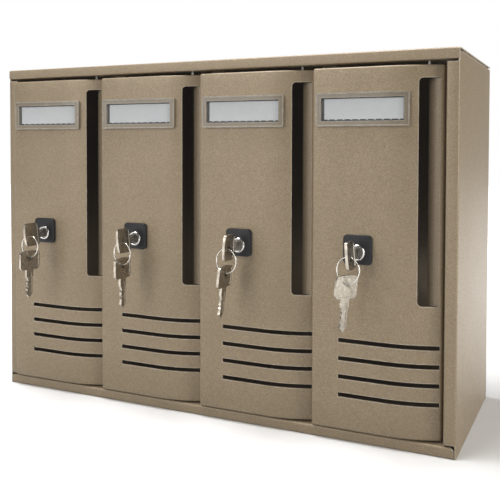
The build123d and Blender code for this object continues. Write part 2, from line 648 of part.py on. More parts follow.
# ---- Keys ----
def bow_face():
    """The key's bow with its crowned outer edge and rounded corners, in y and z."""
    half = BOW_WIDTH / 2
    inner = -NECK_LENGTH
    outer = inner - BOW_LENGTH
    crown = ThreePointArc((outer + BOW_CROWN, -half), (outer, 0), (outer + BOW_CROWN, half))
    sides = [Line((outer + BOW_CROWN, z), (inner, z)) for z in (-half, half)]
    face = make_face([crown, *sides, Line((inner, -half), (inner, half))])
    near = [v for v in face.vertices() if v.X > inner - PAST]
    face = fillet(near, BOW_INNER_CORNER)
    far = [v for v in face.vertices() if v.X < outer + BOW_CROWN + NEAR]
    return fillet(far, BOW_OUTER_CORNER)


def blade_face():
    """Neck and blade, with the pointed tip and the cuts along one edge, in y and z."""
    half = BLADE_WIDTH / 2
    neck = NECK_WIDTH / 2
    points = [(-NECK_LENGTH - PAST, -neck), (0, -neck), (0, -half)]
    first = (BLADE_LENGTH - BLADE_POINT - (len(CUT_DEPTHS) - 1) * CUT_PITCH) / 2
    for number, depth in enumerate(CUT_DEPTHS):
        y = first + number * CUT_PITCH
        points += [(y - CUT_FLAT / 2, depth - half), (y + CUT_FLAT / 2, depth - half)]
        if number < len(CUT_DEPTHS) - 1:
            points.append((y + CUT_PITCH / 2, -half + CUT_FLAT / 2))
    points += [(BLADE_LENGTH - BLADE_POINT, -half), (BLADE_LENGTH, 0)]
    points += [(BLADE_LENGTH - BLADE_POINT, half), (0, half), (0, neck)]
    points.append((-NECK_LENGTH - PAST, neck))
    return make_face(Polyline(*points, close=True))


def flat_key():
    """Key in the y-z plane: its shoulder at the origin and its tip towards +y."""
    half = KEY_THICKNESS / 2
    key = extrude(Plane.YZ * (bow_face() + blade_face()), half, both=True)
    hole = Pos(0, BOW_HOLE, 0) * Rot(0, 90, 0) * Cylinder(BOW_HOLE_RADIUS, 2 * KEY_THICKNESS)
    groove = block(half - BLADE_GROOVE_DEPTH, half + PAST, -NECK_LENGTH / 2, BLADE_LENGTH + PAST,
                   BLADE_GROOVE_RISE - BLADE_GROOVE / 2, BLADE_GROOVE_RISE + BLADE_GROOVE / 2)
    return key - hole - groove


def hanging(solid, index):
    """From coordinates about the wire in the lock key's hole to the door's own place."""
    lean = HANG_LEANS[index % len(HANG_LEANS)]
    place = Pos(LOCK_X, KEY_SHOULDER + BOW_HOLE, LOCK_Z - RING_DROP)
    return place * Rot(0, lean, 0) * solid


def key_ring(index):
    """Wire ring that hangs through the bow of the key in the lock."""
    turn = RING_TURNS[index % len(RING_TURNS)]
    ring = Pos(0, 0, -RING_RADIUS) * Rot(90, 0, 0) * Torus(RING_RADIUS, WIRE_RADIUS)
    return hanging(Rot(0, 0, turn) * ring, index)


def spare_key(index):
    """Second key, hanging tip down from the bottom of the ring."""
    turn = SPARE_TURNS[index % len(SPARE_TURNS)]
    hung = Rot(-90, 0, 0) * Pos(0, -BOW_HOLE, 0) * flat_key()
    drop = 2 * RING_RADIUS + RING_DROP
    return hanging(Pos(0, 0, -drop) * Rot(0, 0, turn) * hung, index)


# ---- Assembly ----
def casing_nodes():
    """Every node of the casing, by name."""
    nodes = {
        "top_panel": [top_panel()],
        "bottom_panel": [bottom_panel()],
        "left_side_panel": [side_panel(LEFT_JAMB, True)],
        "right_side_panel": [mirrored(side_panel(RIGHT_JAMB, False))],
        "back_panel": [back_panel()],
        "hinge_pins": hinge_pins(),
        "casing_rivets": casing_rivets(),
    }
    for index in range(1, DOOR_COUNT):
        nodes[f"partition_{index}"] = [partition(index)]
    return nodes


def door_nodes(index, shared):
    """Every node of one door, in the casing's frame, by name."""
    pieces = dict(shared)
    pieces["lock_plug"] = turned(lock_plug(), index)
    pieces["cam"] = turned(cam(), index)
    pieces["cam_screw"] = turned(cam_screw(), index)
    pieces["key"] = turned(Pos(0, KEY_SHOULDER, 0) * flat_key(), index)
    pieces["key_ring"] = key_ring(index)
    pieces["spare_key"] = spare_key(index)
    place = Pos(door_left(index), 0, 0)
    return {f"door_{index + 1}_{name}": [place * solid] for name, solid in pieces.items()}


def main():
    """Build every node and write it."""
    os.makedirs("parts", exist_ok=True)
    nodes = casing_nodes()
    shared = {
        "panel": door_panel(),
        "name_holder": name_holder(),
        "name_card": name_card(),
        "lock_plate": lock_plate(),
        "lock_barrel": lock_barrel(),
        "lock_nut": lock_nut(),
    }
    for index in range(DOOR_COUNT):
        nodes.update(door_nodes(index, shared))
    for name, solids in nodes.items():
        write_part(name, solids)


main()
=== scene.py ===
import json
import math
import bmesh
import bpy
from bpy.props import FloatProperty, FloatVectorProperty, IntProperty, PointerProperty
from mathutils import Matrix, Vector


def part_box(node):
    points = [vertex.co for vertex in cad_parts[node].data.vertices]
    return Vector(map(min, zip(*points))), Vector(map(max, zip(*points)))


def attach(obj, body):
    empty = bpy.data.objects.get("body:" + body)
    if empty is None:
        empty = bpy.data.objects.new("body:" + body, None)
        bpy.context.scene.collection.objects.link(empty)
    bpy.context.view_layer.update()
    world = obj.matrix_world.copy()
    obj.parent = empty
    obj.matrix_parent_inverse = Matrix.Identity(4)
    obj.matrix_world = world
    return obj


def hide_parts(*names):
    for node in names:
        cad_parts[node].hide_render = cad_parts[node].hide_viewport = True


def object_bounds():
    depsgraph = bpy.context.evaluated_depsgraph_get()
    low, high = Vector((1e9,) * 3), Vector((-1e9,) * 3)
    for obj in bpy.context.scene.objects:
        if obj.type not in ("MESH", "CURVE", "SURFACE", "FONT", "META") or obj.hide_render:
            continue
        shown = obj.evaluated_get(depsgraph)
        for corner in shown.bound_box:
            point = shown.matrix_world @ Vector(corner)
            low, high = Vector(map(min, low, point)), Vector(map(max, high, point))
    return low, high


bl_info = {
    "name": "Letter Box Bank",
    "version": (1, 0, 0),
    "blender": (4, 5, 0),
    "location": "3D View > Sidebar > Letter Boxes",
    "description": "Casing, doors, name holders, locks and keys of a bank of letter boxes",
    "category": "Object",
}

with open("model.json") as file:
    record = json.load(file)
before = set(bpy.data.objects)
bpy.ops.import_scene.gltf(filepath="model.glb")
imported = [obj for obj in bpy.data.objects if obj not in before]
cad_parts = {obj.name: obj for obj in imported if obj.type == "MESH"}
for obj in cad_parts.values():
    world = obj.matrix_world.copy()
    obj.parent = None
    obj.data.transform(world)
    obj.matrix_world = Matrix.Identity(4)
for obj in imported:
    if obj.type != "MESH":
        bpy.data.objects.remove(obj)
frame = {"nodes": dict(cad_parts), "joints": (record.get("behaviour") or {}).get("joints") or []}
CAD_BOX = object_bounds()
NODES = frame["nodes"]
JOINTS = {joint["name"]: joint for joint in frame["joints"]}
DOOR_COUNT = sum(name.endswith("_hinge") for name in JOINTS)
X, Y, Z = Vector((1, 0, 0)), Vector((0, 1, 0)), Vector((0, 0, 1))
NEAR = 1e-6                 # metres, when vertices are matched

# How each door's keys stand, in radians, from the left: the key in the lock
# about the lock's axis, the ring and the spare key about the vertical, and
# both hanging out of plumb.
KEY_TURNS = [math.radians(turn) for turn in (-7, -6, 4, -5)]
RING_TURNS = [math.radians(turn) for turn in (-4, -11, -10, -14)]
SPARE_TURNS = [math.radians(turn) for turn in (-11, -2, -2, -30)]
HANG_LEANS = [math.radians(lean) for lean in (2, 0, 7, 6)]


# Each soft light: name of its power setting, place, width and tint.
LIGHTS = (
    ("key", (-0.85, -1.75, 0.85), 1.2, (1.0, 0.98, 0.95)),
    ("side", (2.4, -0.3, 0.9), 1.6, (1.0, 0.98, 0.95)),
    ("top", (-0.35, -0.10, 1.8), 0.8, (1.0, 1.0, 1.0)),
)
AIM = (0.0, 0.0, 0.14)      # where the soft lights point
BLACK_LEVEL = -0.006        # lifts the darkest tones a little
FLOOR_DROP = 0.0002         # metres, the floor below the underside

# ---- Settings ----
def length(name, description, default):
    """A length that the panel shows in scene units."""
    return FloatProperty(name=name, description=description, default=default, min=0.0,
                         precision=5, unit="LENGTH")


def colour(name, description, default):
    """A linear colour."""
    return FloatVectorProperty(name=name, description=description, default=default,
                               min=0.0, max=1.0, size=3, subtype="COLOR")


def share(name, description, default):
    """A number from 0 to 1."""
    return FloatProperty(name=name, description=description, default=default, min=0.0,
                         max=1.0, subtype="FACTOR")


class SheetSettings(bpy.types.PropertyGroup):
    """Sizes of the folded steel sheets."""
    thickness: length("Thickness", "Thickness of every sheet", 0.001)
    fold: length("Fold", "Outside radius of a fold", 0.0015)
    inner_fold: length("Inner fold", "Inside radius of a fold", 0.0005)
    edge: length("Edge", "Rounding of the cut edges under the coat", 0.00028)
    top_lip: length("Top lip", "Height of the lip above the doors", 0.0083)
    bottom_lip: length("Bottom lip", "Height of the lip below the doors", 0.008)
    lip_corner: length("Lip corner", "Radius of the bottom lip's upper corners", 0.0025)
    channel: length("Channel", "How far both lips fold back", 0.014)
    channel_turn: length("Channel turn", "Height of the edge that closes a channel", 0.0045)
    left_jamb: length("Left jamb", "Width of the strip beside the first door", 0.0082)
    right_jamb: length("Right jamb", "Width of the strip beside the last door", 0.0092)
    jamb_gap: length("Jamb gap", "Gap between a jamb strip and the lips", 0.0016)
    stop: length("Stop depth", "Depth at which the stop flanges stand", 0.0145)
    end_gap: length("End gap", "Gap at each end of the bottom lip", 0.0007)
    rear_flange: length("Rear flange", "Width of the side panels' rear flanges", 0.012)
    tie_flange: length("Tie flange", "Width of the welded flanges inside", 0.010)
    tie_end: length("Tie end", "Room left at the ends of a tie flange", 0.0025)


class DoorSettings(bpy.types.PropertyGroup):
    """Sizes of one pressed door."""
    curve: length("Curve width", "Width of the curved part beside the hinge edge", 0.040)
    fall: length("Fall", "How far the hinge edge lies behind the flat", 0.009)
    slot_edge: length("Slot edge", "Strip left between slot and hinge edge", 0.0025)
    slot_width: length("Slot width", "Width of the mail slot", 0.0145)
    slot_top: length("Slot top", "Door's top edge to the slot", 0.0093)
    slot_bottom: length("Slot bottom", "Door's bottom edge to the slot", 0.0969)
    slot_corner: length("Slot corner", "Radius of the slot's corners on the lock side", 0.003)
    flap_radius: length("Flap radius", "Radius of the flap rolled inwards", 0.011)
    flap_gap: length("Flap gap", "Slit at each end of the flap", 0.0005)
    flap_sweep: FloatProperty(name="Flap sweep", description="How far round the flap is rolled",
                              default=math.radians(60), subtype="ANGLE")
    louvres: IntProperty(name="Louvres", description="Number of louvre slots", default=4, min=0)
    louvre_height: length("Louvre height", "Height of one louvre slot", 0.0033)
    louvre_pitch: length("Louvre pitch", "From one louvre slot to the next", 0.01363)
    louvre_bottom: length("Louvre bottom", "Door's bottom edge to the first louvre", 0.0246)
    louvre_left: length("Louvre left", "Lock edge to the louvres", 0.021)
    louvre_edge: length("Louvre edge", "Strip left at the hinge edge", 0.0016)


class HolderSettings(bpy.types.PropertyGroup):
    """Sizes of the clear name holder and its card."""
    thickness: length("Thickness", "How far the holder stands off the door", 0.0024)
    rim: length("Rim", "Width of the band around the window", 0.0038)
    recess: length("Recess", "How far the pane lies behind the rim", 0.0007)
    pane: length("Pane", "Thickness of the clear pane", 0.0008)
    corner: length("Corner", "Radius of the holder's corners", 0.0014)
    bead: length("Bead", "Width of the raised line around the holder", 0.0008)
    bead_rise: length("Bead rise", "Height of that line above the band", 0.0003)
    # Painted shadow: a black sheet behind the card, for the dark gap round it.
    shadow_sheet: length("Liner", "Thickness of the black liner behind the card", 0.00012)
    card: length("Card", "Thickness of the card", 0.00025)
    card_side: length("Card side", "Room between the card and the window's lock side", 0.0024)
    card_end: length("Card end", "Room between the card and the window's other sides", 0.0008)
    nub_pitch: length("Nub pitch", "Spacing of the tear-off nubs on the card", 0.0059)
    nub_width: length("Nub width", "Width of one tear-off nub", 0.0013)
    nub_height: length("Nub height", "How far a nub stands out", 0.0006)
    card_colour: colour("Card", "White card stock", (0.80, 0.83, 0.85))
    band_colour: colour("Band", "Smoky moulding over the coat", (0.33, 0.275, 0.200))
    # Painted highlight on the holder's outer edge.
    rim_highlight: colour("Rim", "Lighter rim of the moulding", (0.78, 0.74, 0.66))


class LockSettings(bpy.types.PropertyGroup):
    """Sizes and finish of the cam locks."""
    plate_corner: length("Plate corner", "Radius of the black plate's corners", 0.003)
    plate_bevel: length("Plate bevel", "Slope around the plate's face", 0.0008)
    bore: length("Bore", "Radius of the barrel's bore", 0.00428)
    body: length("Body", "Radius of the barrel behind its flange", 0.0054)
    flange: length("Flange", "Thickness of the barrel's flange", 0.0014)
    plate_colour: colour("Plate", "Black moulded plate", (0.012, 0.012, 0.014))
    chrome: colour("Chrome", "Bright plating", (0.52, 0.51, 0.49))
    plug: colour("Plug", "Dull plating of the plug", (0.20, 0.195, 0.185))
    zinc: colour("Zinc", "Zinc-plated steel", (0.30, 0.29, 0.27))


class KeySettings(bpy.types.PropertyGroup):
    """Sizes and finish of the keys and their ring."""
    thickness: length("Thickness", "Thickness of the key", 0.002)
    bow_length: length("Bow length", "Length of the bow", 0.017)
    bow_width: length("Bow width", "Width of the bow", 0.020)
    crown: length("Crown", "Rise of the bow's outer edge", 0.0012)
    outer_corner: length("Outer corner", "Radius of the bow's outer corners", 0.002)
    inner_corner: length("Inner corner", "Radius of the bow's corners at the neck", 0.003)
    border: length("Border", "Width of the raised border around the bow", 0.0012)
    border_rise: length("Border rise", "Height of the border above the bow's face", 0.00022)
    hole: length("Hole", "Radius of the hole in the bow", 0.002)
    hole_inset: length("Hole inset", "Bow's outer edge to the middle of the hole", 0.007)
    neck_length: length("Neck length", "Bow to shoulder", 0.0064)
    neck_width: length("Neck width", "Width of the neck", 0.007)
    blade_length: length("Blade length", "Shoulder to tip", 0.018)
    blade_width: length("Blade width", "Width of the blade", 0.0058)
    point: length("Point", "Length of the pointed tip", 0.003)
    cut_pitch: length("Cut pitch", "From one cut to the next", 0.0028)
    cut_flat: length("Cut flat", "Width of a cut's floor", 0.0005)
    groove: length("Groove", "Width of the groove along the blade", 0.0013)
    groove_depth: length("Groove depth", "Depth of that groove", 0.0004)
    wire: length("Wire", "Thickness of one turn of the ring across its plane", 0.00056)
    wire_width: length("Wire width", "Width of the wire in the ring's plane", 0.0008)
    nickel: colour("Nickel", "Nickel plating of the keys", (0.43, 0.39, 0.33))
    steel: colour("Ring steel", "Drawn wire of the rings", (0.72, 0.70, 0.66))


class CoatSettings(bpy.types.PropertyGroup):
    """Metallic powder coat."""
    base: colour("Base", "Champagne coat", (0.385, 0.288, 0.172))
    dark: colour("Dark", "Coat in its darker specks", (0.215, 0.158, 0.093))
    # Painted shade: the dark colour that the coat turns to on the mail slot's rolled flap, for the
    # shade deep in the slot.
    shade: colour("Shade", "Thin, dusty coat inside the mail slot", (0.06, 0.045, 0.030))
    # Pale is also the painted highlight along folds and edges, besides the colour of the bright flakes.
    pale: colour("Pale", "Bright flakes and rubbed edges", (0.720, 0.640, 0.520))
    grain: length("Grain", "Size of the coat's texture", 0.0007)
    flake: length("Flake", "Size of one metallic flake", 0.0006)
    # How strongly the pale shows on folds and edges: partly wear, partly painted highlight.
    wear_and_highlight: share("Wear", "How strongly folds and edges show pale", 0.80)


class StageSettings(bpy.types.PropertyGroup):
    """Camera, lights and floor."""
    camera: FloatVectorProperty(name="Camera", description="Where the camera stands",
                                default=(0.2939, -0.6058, 0.2195), subtype="XYZ", unit="LENGTH")
    yaw: FloatProperty(name="Yaw", description="Camera turned to the left",
                       default=math.radians(25.31), subtype="ANGLE")
    pitch: FloatProperty(name="Pitch", description="Camera tipped down",
                         default=math.radians(1.713), subtype="ANGLE")
    roll: FloatProperty(name="Roll", description="Camera rolled",
                        default=math.radians(0.146), subtype="ANGLE")
    lens: FloatProperty(name="Lens", description="Focal length in millimetres", default=53.76)
    shift: FloatProperty(name="Shift", description="Vertical lens shift", default=-0.16)
    floor: length("Floor", "Radius of the floor", 4.0)
    key: FloatProperty(name="Key light", description="Soft light from the front left", default=16.0,
                       unit="POWER")
    side: FloatProperty(name="Side light", description="Soft light from the right", default=42.0,
                        unit="POWER")
    top: FloatProperty(name="Top light", description="Soft light from above", default=34.0,
                       unit="POWER")
    inside: FloatProperty(name="Inside light", description="Faint light in each compartment",
                          default=0.008, unit="POWER")
    sky: share("Sky", "Even light from all round", 0.20)


# ---- Node helpers ----
def add_node(tree, kind, **values):
    """A node with its properties and unlinked sockets set."""
    node = tree.nodes.new(kind)
    for name, value in values.items():
        if hasattr(node, name):
            setattr(node, name, value)
        else:
            node.inputs[name.replace("_", " ")].default_value = value
    return node


def link(tree, source, target):
    """Join two sockets."""
    tree.links.new(source, target)


def group_of(name, inputs, outputs):
    """An empty shader group with named sockets, and its two end nodes."""
    tree = bpy.data.node_groups.new(name, "ShaderNodeTree")
    for label, kind, default in inputs:
        socket = tree.interface.new_socket(label, in_out="INPUT", socket_type=kind)
        if default is not None:
            socket.default_value = default
    for label, kind in outputs:
        tree.interface.new_socket(label, in_out="OUTPUT", socket_type=kind)
    return tree, tree.nodes.new("NodeGroupInput"), tree.nodes.new("NodeGroupOutput")


def noise(tree, vector, scale, detail=2.0, rough=0.5):
    """A noise texture on the given coordinates; scale is a number or a socket."""
    node = add_node(tree, "ShaderNodeTexNoise", Detail=detail, Roughness=rough)
    link(tree, vector, node.inputs["Vector"])
    if isinstance(scale, (int, float)):
        node.inputs["Scale"].default_value = scale
    else:
        link(tree, scale, node.inputs["Scale"])
    return node.outputs["Fac"]


def ranged(tree, value, low, high, out_low=0.0, out_high=1.0):
    """The value moved from one range to another and kept inside it."""
    node = add_node(tree, "ShaderNodeMapRange", clamp=True)
    link(tree, value, node.inputs["Value"])
    for name, number in (("From Min", low), ("From Max", high), ("To Min", out_low),
                         ("To Max", out_high)):
        node.inputs[name].default_value = number
    return node.outputs["Result"]


def math_node(tree, operation, first, second):
    """A math node on sockets or numbers."""
    node = add_node(tree, "ShaderNodeMath", operation=operation)
    for socket, value in zip(node.inputs, (first, second)):
        if isinstance(value, (int, float)):
            socket.default_value = value
        else:
            link(tree, value, socket)
    return node.outputs[0]


def mixed(tree, factor, first, second):
    """Two colours mixed by a factor; each is a socket or a colour."""
    node = add_node(tree, "ShaderNodeMix", data_type="RGBA")
    link(tree, factor, node.inputs["Factor"])
    for socket, value in ((node.inputs[6], first), (node.inputs[7], second)):
        if isinstance(value, bpy.types.NodeSocket):
            link(tree, value, socket)
        else:
            socket.default_value = (*value, 1.0)
    return node.outputs[2]


# Besides worn edges, this mask paints highlights along folds and edges in the coat and on the holder's
# rim.
def edge_wear_and_highlight_group():
    """Mask that is 1 on outer edges and folds, broken up by noise."""
    tree, given, made = group_of(
        "Edge wear",
        [("Vector", "NodeSocketVector", None), ("Radius", "NodeSocketFloat", 0.0004),
         ("Break up", "NodeSocketFloat", 300.0)],
        [("Mask", "NodeSocketFloat")])
    rounded = add_node(tree, "ShaderNodeBevel", samples=6)
    link(tree, given.outputs["Radius"], rounded.inputs["Radius"])
    surface = tree.nodes.new("ShaderNodeNewGeometry")
    dot = add_node(tree, "ShaderNodeVectorMath", operation="DOT_PRODUCT")
    link(tree, rounded.outputs["Normal"], dot.inputs[0])
    link(tree, surface.outputs["Normal"], dot.inputs[1])
    sharp = ranged(tree, dot.outputs["Value"], 0.995, 0.90)
    patches = noise(tree, given.outputs["Vector"], given.outputs["Break up"], 3.0, 0.6)
    patches = ranged(tree, patches, 0.30, 0.62, 0.35, 1.0)
    link(tree, math_node(tree, "MULTIPLY", sharp, patches), made.inputs["Mask"])
    return tree


def grain_group():
    """Orange-peel texture of a sprayed or moulded surface: height and tone."""
    tree, given, made = group_of(
        "Fine grain",
        [("Vector", "NodeSocketVector", None), ("Scale", "NodeSocketFloat", 1400.0)],
        [("Height", "NodeSocketFloat"), ("Tone", "NodeSocketFloat"),
         ("Cloud", "NodeSocketFloat")])
    fine = noise(tree, given.outputs["Vector"], given.outputs["Scale"], 3.0, 0.62)
    link(tree, fine, made.inputs["Height"])
    link(tree, ranged(tree, fine, 0.34, 0.66), made.inputs["Tone"])
    broad = math_node(tree, "MULTIPLY", given.outputs["Scale"], 0.03)
    cloud = noise(tree, given.outputs["Vector"], broad, 3.0, 0.55)
    link(tree, ranged(tree, cloud, 0.3, 0.7), made.inputs["Cloud"])
    return tree


def brushed_group():
    """Fine scratches stretched along one axis, with broader smears."""
    tree, given, made = group_of(
        "Brushed",
        [("Vector", "NodeSocketVector", None), ("Scale", "NodeSocketFloat", 900.0)],
        [("Height", "NodeSocketFloat"), ("Smear", "NodeSocketFloat")])
    stretch = add_node(tree, "ShaderNodeVectorMath", operation="MULTIPLY")
    stretch.inputs[1].default_value = (1.0, 0.12, 1.0)
    link(tree, given.outputs["Vector"], stretch.inputs[0])
    lines = noise(tree, stretch.outputs["Vector"], given.outputs["Scale"], 4.0, 0.7)
    link(tree, lines, made.inputs["Height"])
    broad = math_node(tree, "MULTIPLY", given.outputs["Scale"], 0.25)
    smear = noise(tree, given.outputs["Vector"], broad, 2.0, 0.5)
    link(tree, ranged(tree, smear, 0.3, 0.7), made.inputs["Smear"])
    return tree


def placed_group(tree, group, vector, **values):
    """A group in a material, fed with coordinates and its own values."""
    node = tree.nodes.new("ShaderNodeGroup")
    node.node_tree = bpy.data.node_groups[group]
    link(tree, vector, node.inputs["Vector"])
    for name, value in values.items():
        node.inputs[name.replace("_", " ")].default_value = value
    return node


def new_material(name):
    """A material with a Principled shader: its tree, its shader and object coordinates."""
    material = bpy.data.materials.new(name)
    material.use_nodes = True
    tree = material.node_tree
    shader = tree.nodes["Principled BSDF"]
    place = tree.nodes.new("ShaderNodeTexCoord").outputs["Object"]
    return material, tree, shader, place


def bumped(tree, shader, height, strength, distance):
    """A bump from a height, on the shader's normal."""
    bump = add_node(tree, "ShaderNodeBump", Strength=strength, Distance=distance)
    link(tree, height, bump.inputs["Height"])
    link(tree, bump.outputs["Normal"], shader.inputs["Normal"])


# ---- Materials ----
def powder_coat(coat):
    """Champagne metallic powder coat: sandy grain, faint flakes, paler folds and edges (partly wear,
    partly a painted highlight), and painted shade on the mail slot's flap.
    """
    material, tree, shader, place = new_material("champagne_powder_coat")
    grain = placed_group(tree, "Fine grain", place, Scale=1.0 / coat.grain)
    wear_and_highlight = placed_group(tree, "Edge wear", place, Radius=0.0013, Break_up=160.0)
    flakes = add_node(tree, "ShaderNodeTexVoronoi", feature="F1", Scale=1.0 / coat.flake)
    link(tree, place, flakes.inputs["Vector"])
    flake = add_node(tree, "ShaderNodeSeparateColor")
    link(tree, flakes.outputs["Color"], flake.inputs["Color"])
    bright = ranged(tree, flake.outputs["Red"], 0.0, 1.0, 0.0, 0.16)
    tone = mixed(tree, grain.outputs["Tone"], coat.dark, coat.base)
    clouded = mixed(tree, ranged(tree, grain.outputs["Cloud"], 0.0, 1.0, 0.0, 0.25), tone, coat.dark)
    flaked = mixed(tree, bright, clouded, coat.pale)
    # Painted highlight: folds and edges mixed towards pale, partly wear and partly standing in for
    # light glinting on the bends.
    worn = mixed(tree, math_node(tree, "MULTIPLY", wear_and_highlight.outputs["Mask"], coat.wear_and_highlight), flaked, coat.pale)
    # Painted shade: the flap's 'recess' weight darkens the coat towards the shade colour inside the
    # mail slot.
    recess = add_node(tree, "ShaderNodeAttribute", attribute_name="recess")
    depth = ranged(tree, recess.outputs["Fac"], 0.0, 1.0, 0.0, 0.42)
    link(tree, mixed(tree, depth, worn, coat.shade), shader.inputs["Base Color"])
    link(tree, ranged(tree, grain.outputs["Tone"], 0.0, 1.0, 0.50, 0.36), shader.inputs["Roughness"])
    link(tree, ranged(tree, flake.outputs["Green"], 0.7, 1.0, 0.10, 0.45), shader.inputs["Metallic"])
    bumped(tree, shader, grain.outputs["Height"], 0.30, 0.00010)
    return material


def black_plastic(lock):
    """Satin black moulding with a fine spark-eroded grain and greyer edges."""
    material, tree, shader, place = new_material("satin_black_moulding")
    grain = placed_group(tree, "Fine grain", place, Scale=2600.0)
    wear_and_highlight = placed_group(tree, "Edge wear", place, Radius=0.0003, Break_up=500.0)
    pale = [min(1.0, 4.0 * part + 0.02) for part in lock.plate_colour]
    soft = [1.6 * part for part in lock.plate_colour]
    base = mixed(tree, grain.outputs["Tone"], lock.plate_colour, soft)
    link(tree, mixed(tree, wear_and_highlight.outputs["Mask"], base, pale), shader.inputs["Base Color"])
    link(tree, ranged(tree, grain.outputs["Cloud"], 0.0, 1.0, 0.34, 0.46), shader.inputs["Roughness"])
    bumped(tree, shader, grain.outputs["Height"], 0.25, 0.00006)
    shader.inputs["Specular IOR Level"].default_value = 0.25
    return material


def smoky_moulding(holder):
    """Smoky see-through moulding: soft haze, glossy face, and a lighter rim that is a painted
    highlight.
    """
    material, tree, shader, place = new_material("smoky_moulding")
    grain = placed_group(tree, "Fine grain", place, Scale=900.0)
    wear_and_highlight = placed_group(tree, "Edge wear", place, Radius=0.0006, Break_up=260.0)
    hazy = [0.86 * part for part in holder.band_colour]
    band = mixed(tree, grain.outputs["Tone"], holder.band_colour, hazy)
    # Painted highlight: the band turns to the rim colour along the edges.
    link(tree, mixed(tree, wear_and_highlight.outputs["Mask"], band, holder.rim_highlight), shader.inputs["Base Color"])
    link(tree, ranged(tree, grain.outputs["Cloud"], 0.0, 1.0, 0.18, 0.32), shader.inputs["Roughness"])
    bumped(tree, shader, grain.outputs["Height"], 0.10, 0.00005)
    return material


def clear_pane():
    """Clear pane: almost invisible, with a sheen and faint rubbing marks."""
    material, tree, shader, place = new_material("clear_pane")
    brushed = placed_group(tree, "Brushed", place, Scale=500.0)
    shader.inputs["Base Color"].default_value = (0.90, 0.92, 0.93, 1.0)
    link(tree, ranged(tree, brushed.outputs["Smear"], 0.0, 1.0, 0.05, 0.07), shader.inputs["Alpha"])
    link(tree, ranged(tree, brushed.outputs["Smear"], 0.0, 1.0, 0.25, 0.36), shader.inputs["Roughness"])
    shader.inputs["Specular IOR Level"].default_value = 0.25
    return material


def card_paper(holder):
    """White card with paper fibre and a slight unevenness of tone."""
    material, tree, shader, place = new_material("card_stock")
    grain = placed_group(tree, "Fine grain", place, Scale=3200.0)
    shade = [0.90 * part for part in holder.card_colour]
    tone = mixed(tree, grain.outputs["Tone"], holder.card_colour, shade)
    fold = mixed(tree, ranged(tree, grain.outputs["Cloud"], 0.0, 1.0, 0.0, 0.5), tone, shade)
    link(tree, fold, shader.inputs["Base Color"])
    link(tree, ranged(tree, grain.outputs["Tone"], 0.0, 1.0, 0.75, 0.9), shader.inputs["Roughness"])
    bumped(tree, shader, grain.outputs["Height"], 0.2, 0.00005)
    return material


def plated_metal(name, base, low, high, scale, wear_radius):
    """Plated metal with fine scratches, smears in its gloss and brighter worn edges."""
    material, tree, shader, place = new_material(name)
    shader.inputs["Metallic"].default_value = 1.0
    brushed = placed_group(tree, "Brushed", place, Scale=scale)
    wear_and_highlight = placed_group(tree, "Edge wear", place, Radius=wear_radius, Break_up=700.0)
    dull = [0.78 * part for part in base]
    bright = [min(1.0, 1.18 * part + 0.04) for part in base]
    tone = mixed(tree, brushed.outputs["Smear"], base, dull)
    link(tree, mixed(tree, wear_and_highlight.outputs["Mask"], tone, bright), shader.inputs["Base Color"])
    link(tree, ranged(tree, brushed.outputs["Smear"], 0.0, 1.0, low, high), shader.inputs["Roughness"])
    bumped(tree, shader, brushed.outputs["Height"], 0.18, 0.00003)
    return material


def floor_paint():
    """Matt white studio floor that brightens away from the object."""
    material, tree, shader, place = new_material("studio_floor")
    grain = placed_group(tree, "Fine grain", place, Scale=60.0)
    link(tree, mixed(tree, grain.outputs["Tone"], (0.93, 0.93, 0.93), (0.91, 0.91, 0.91)),
         shader.inputs["Base Color"])
    shader.inputs["Roughness"].default_value = 0.9
    shader.inputs["Specular IOR Level"].default_value = 0.1
    reach = add_node(tree, "ShaderNodeVectorMath", operation="LENGTH")
    link(tree, place, reach.inputs[0])
    far = ranged(tree, reach.outputs["Value"], 0.28, 0.60, 0.02, 1.0)
    link(tree, mixed(tree, far, (0.0, 0.0, 0.0), (1.0, 1.0, 1.0)), shader.inputs["Emission Color"])
    shader.inputs["Emission Strength"].default_value = 1.0
    return material


# ---- Mesh helpers ----
def verts_of(geometry):
    """The vertices among what an operator gave back."""
    return [item for item in geometry if isinstance(item, bmesh.types.BMVert)]


def faces_of(geometry):
    """The faces among what an operator gave back."""
    return [item for item in geometry if isinstance(item, bmesh.types.BMFace)]


def line_through(bm, points, closed=False):
    """A line of edges through the points; returns its vertices."""
    verts = bmesh.ops.create_vert(bm, co=points[0])["vert"]
    for point in points[1:]:
        new = bmesh.ops.extrude_vert_indiv(bm, verts=[verts[-1]])["verts"][0]
        new.co = point
        verts.append(new)
    if closed:
        bmesh.ops.contextual_create(bm, geom=[verts[0], verts[-1]])
    return verts


def drawn_out(bm, edges, along):
    """Edges extruded into faces along a vector; returns the new geometry."""
    made = bmesh.ops.extrude_edge_only(bm, edges=edges)["geom"]
    bmesh.ops.translate(bm, verts=verts_of(made), vec=along)
    return made


def rounded_edges(bm, edges, radius, segments=5):
    """A rounded bevel on edges, of one face offset."""
    bmesh.ops.bevel(bm, geom=edges, offset=radius, offset_type="OFFSET", segments=segments,
                    profile=0.5, affect="EDGES", material=-1)


def folded_sheet(bm, points, along, folds):
    """A sheet's outer skin folded along straight lines; `folds` holds one radius per inner point."""
    line = line_through(bm, points)
    joined = {edge for vert in line for edge in vert.link_edges}
    drawn_out(bm, list(joined), along)
    by_radius = {}
    for vert, radius in zip(line[1:-1], folds):
        crease = [e for e in vert.link_edges
                  if (e.other_vert(vert).co - vert.co - along).length < NEAR]
        by_radius.setdefault(radius, []).extend(crease)
    for radius, creases in by_radius.items():
        rounded_edges(bm, creases, radius)


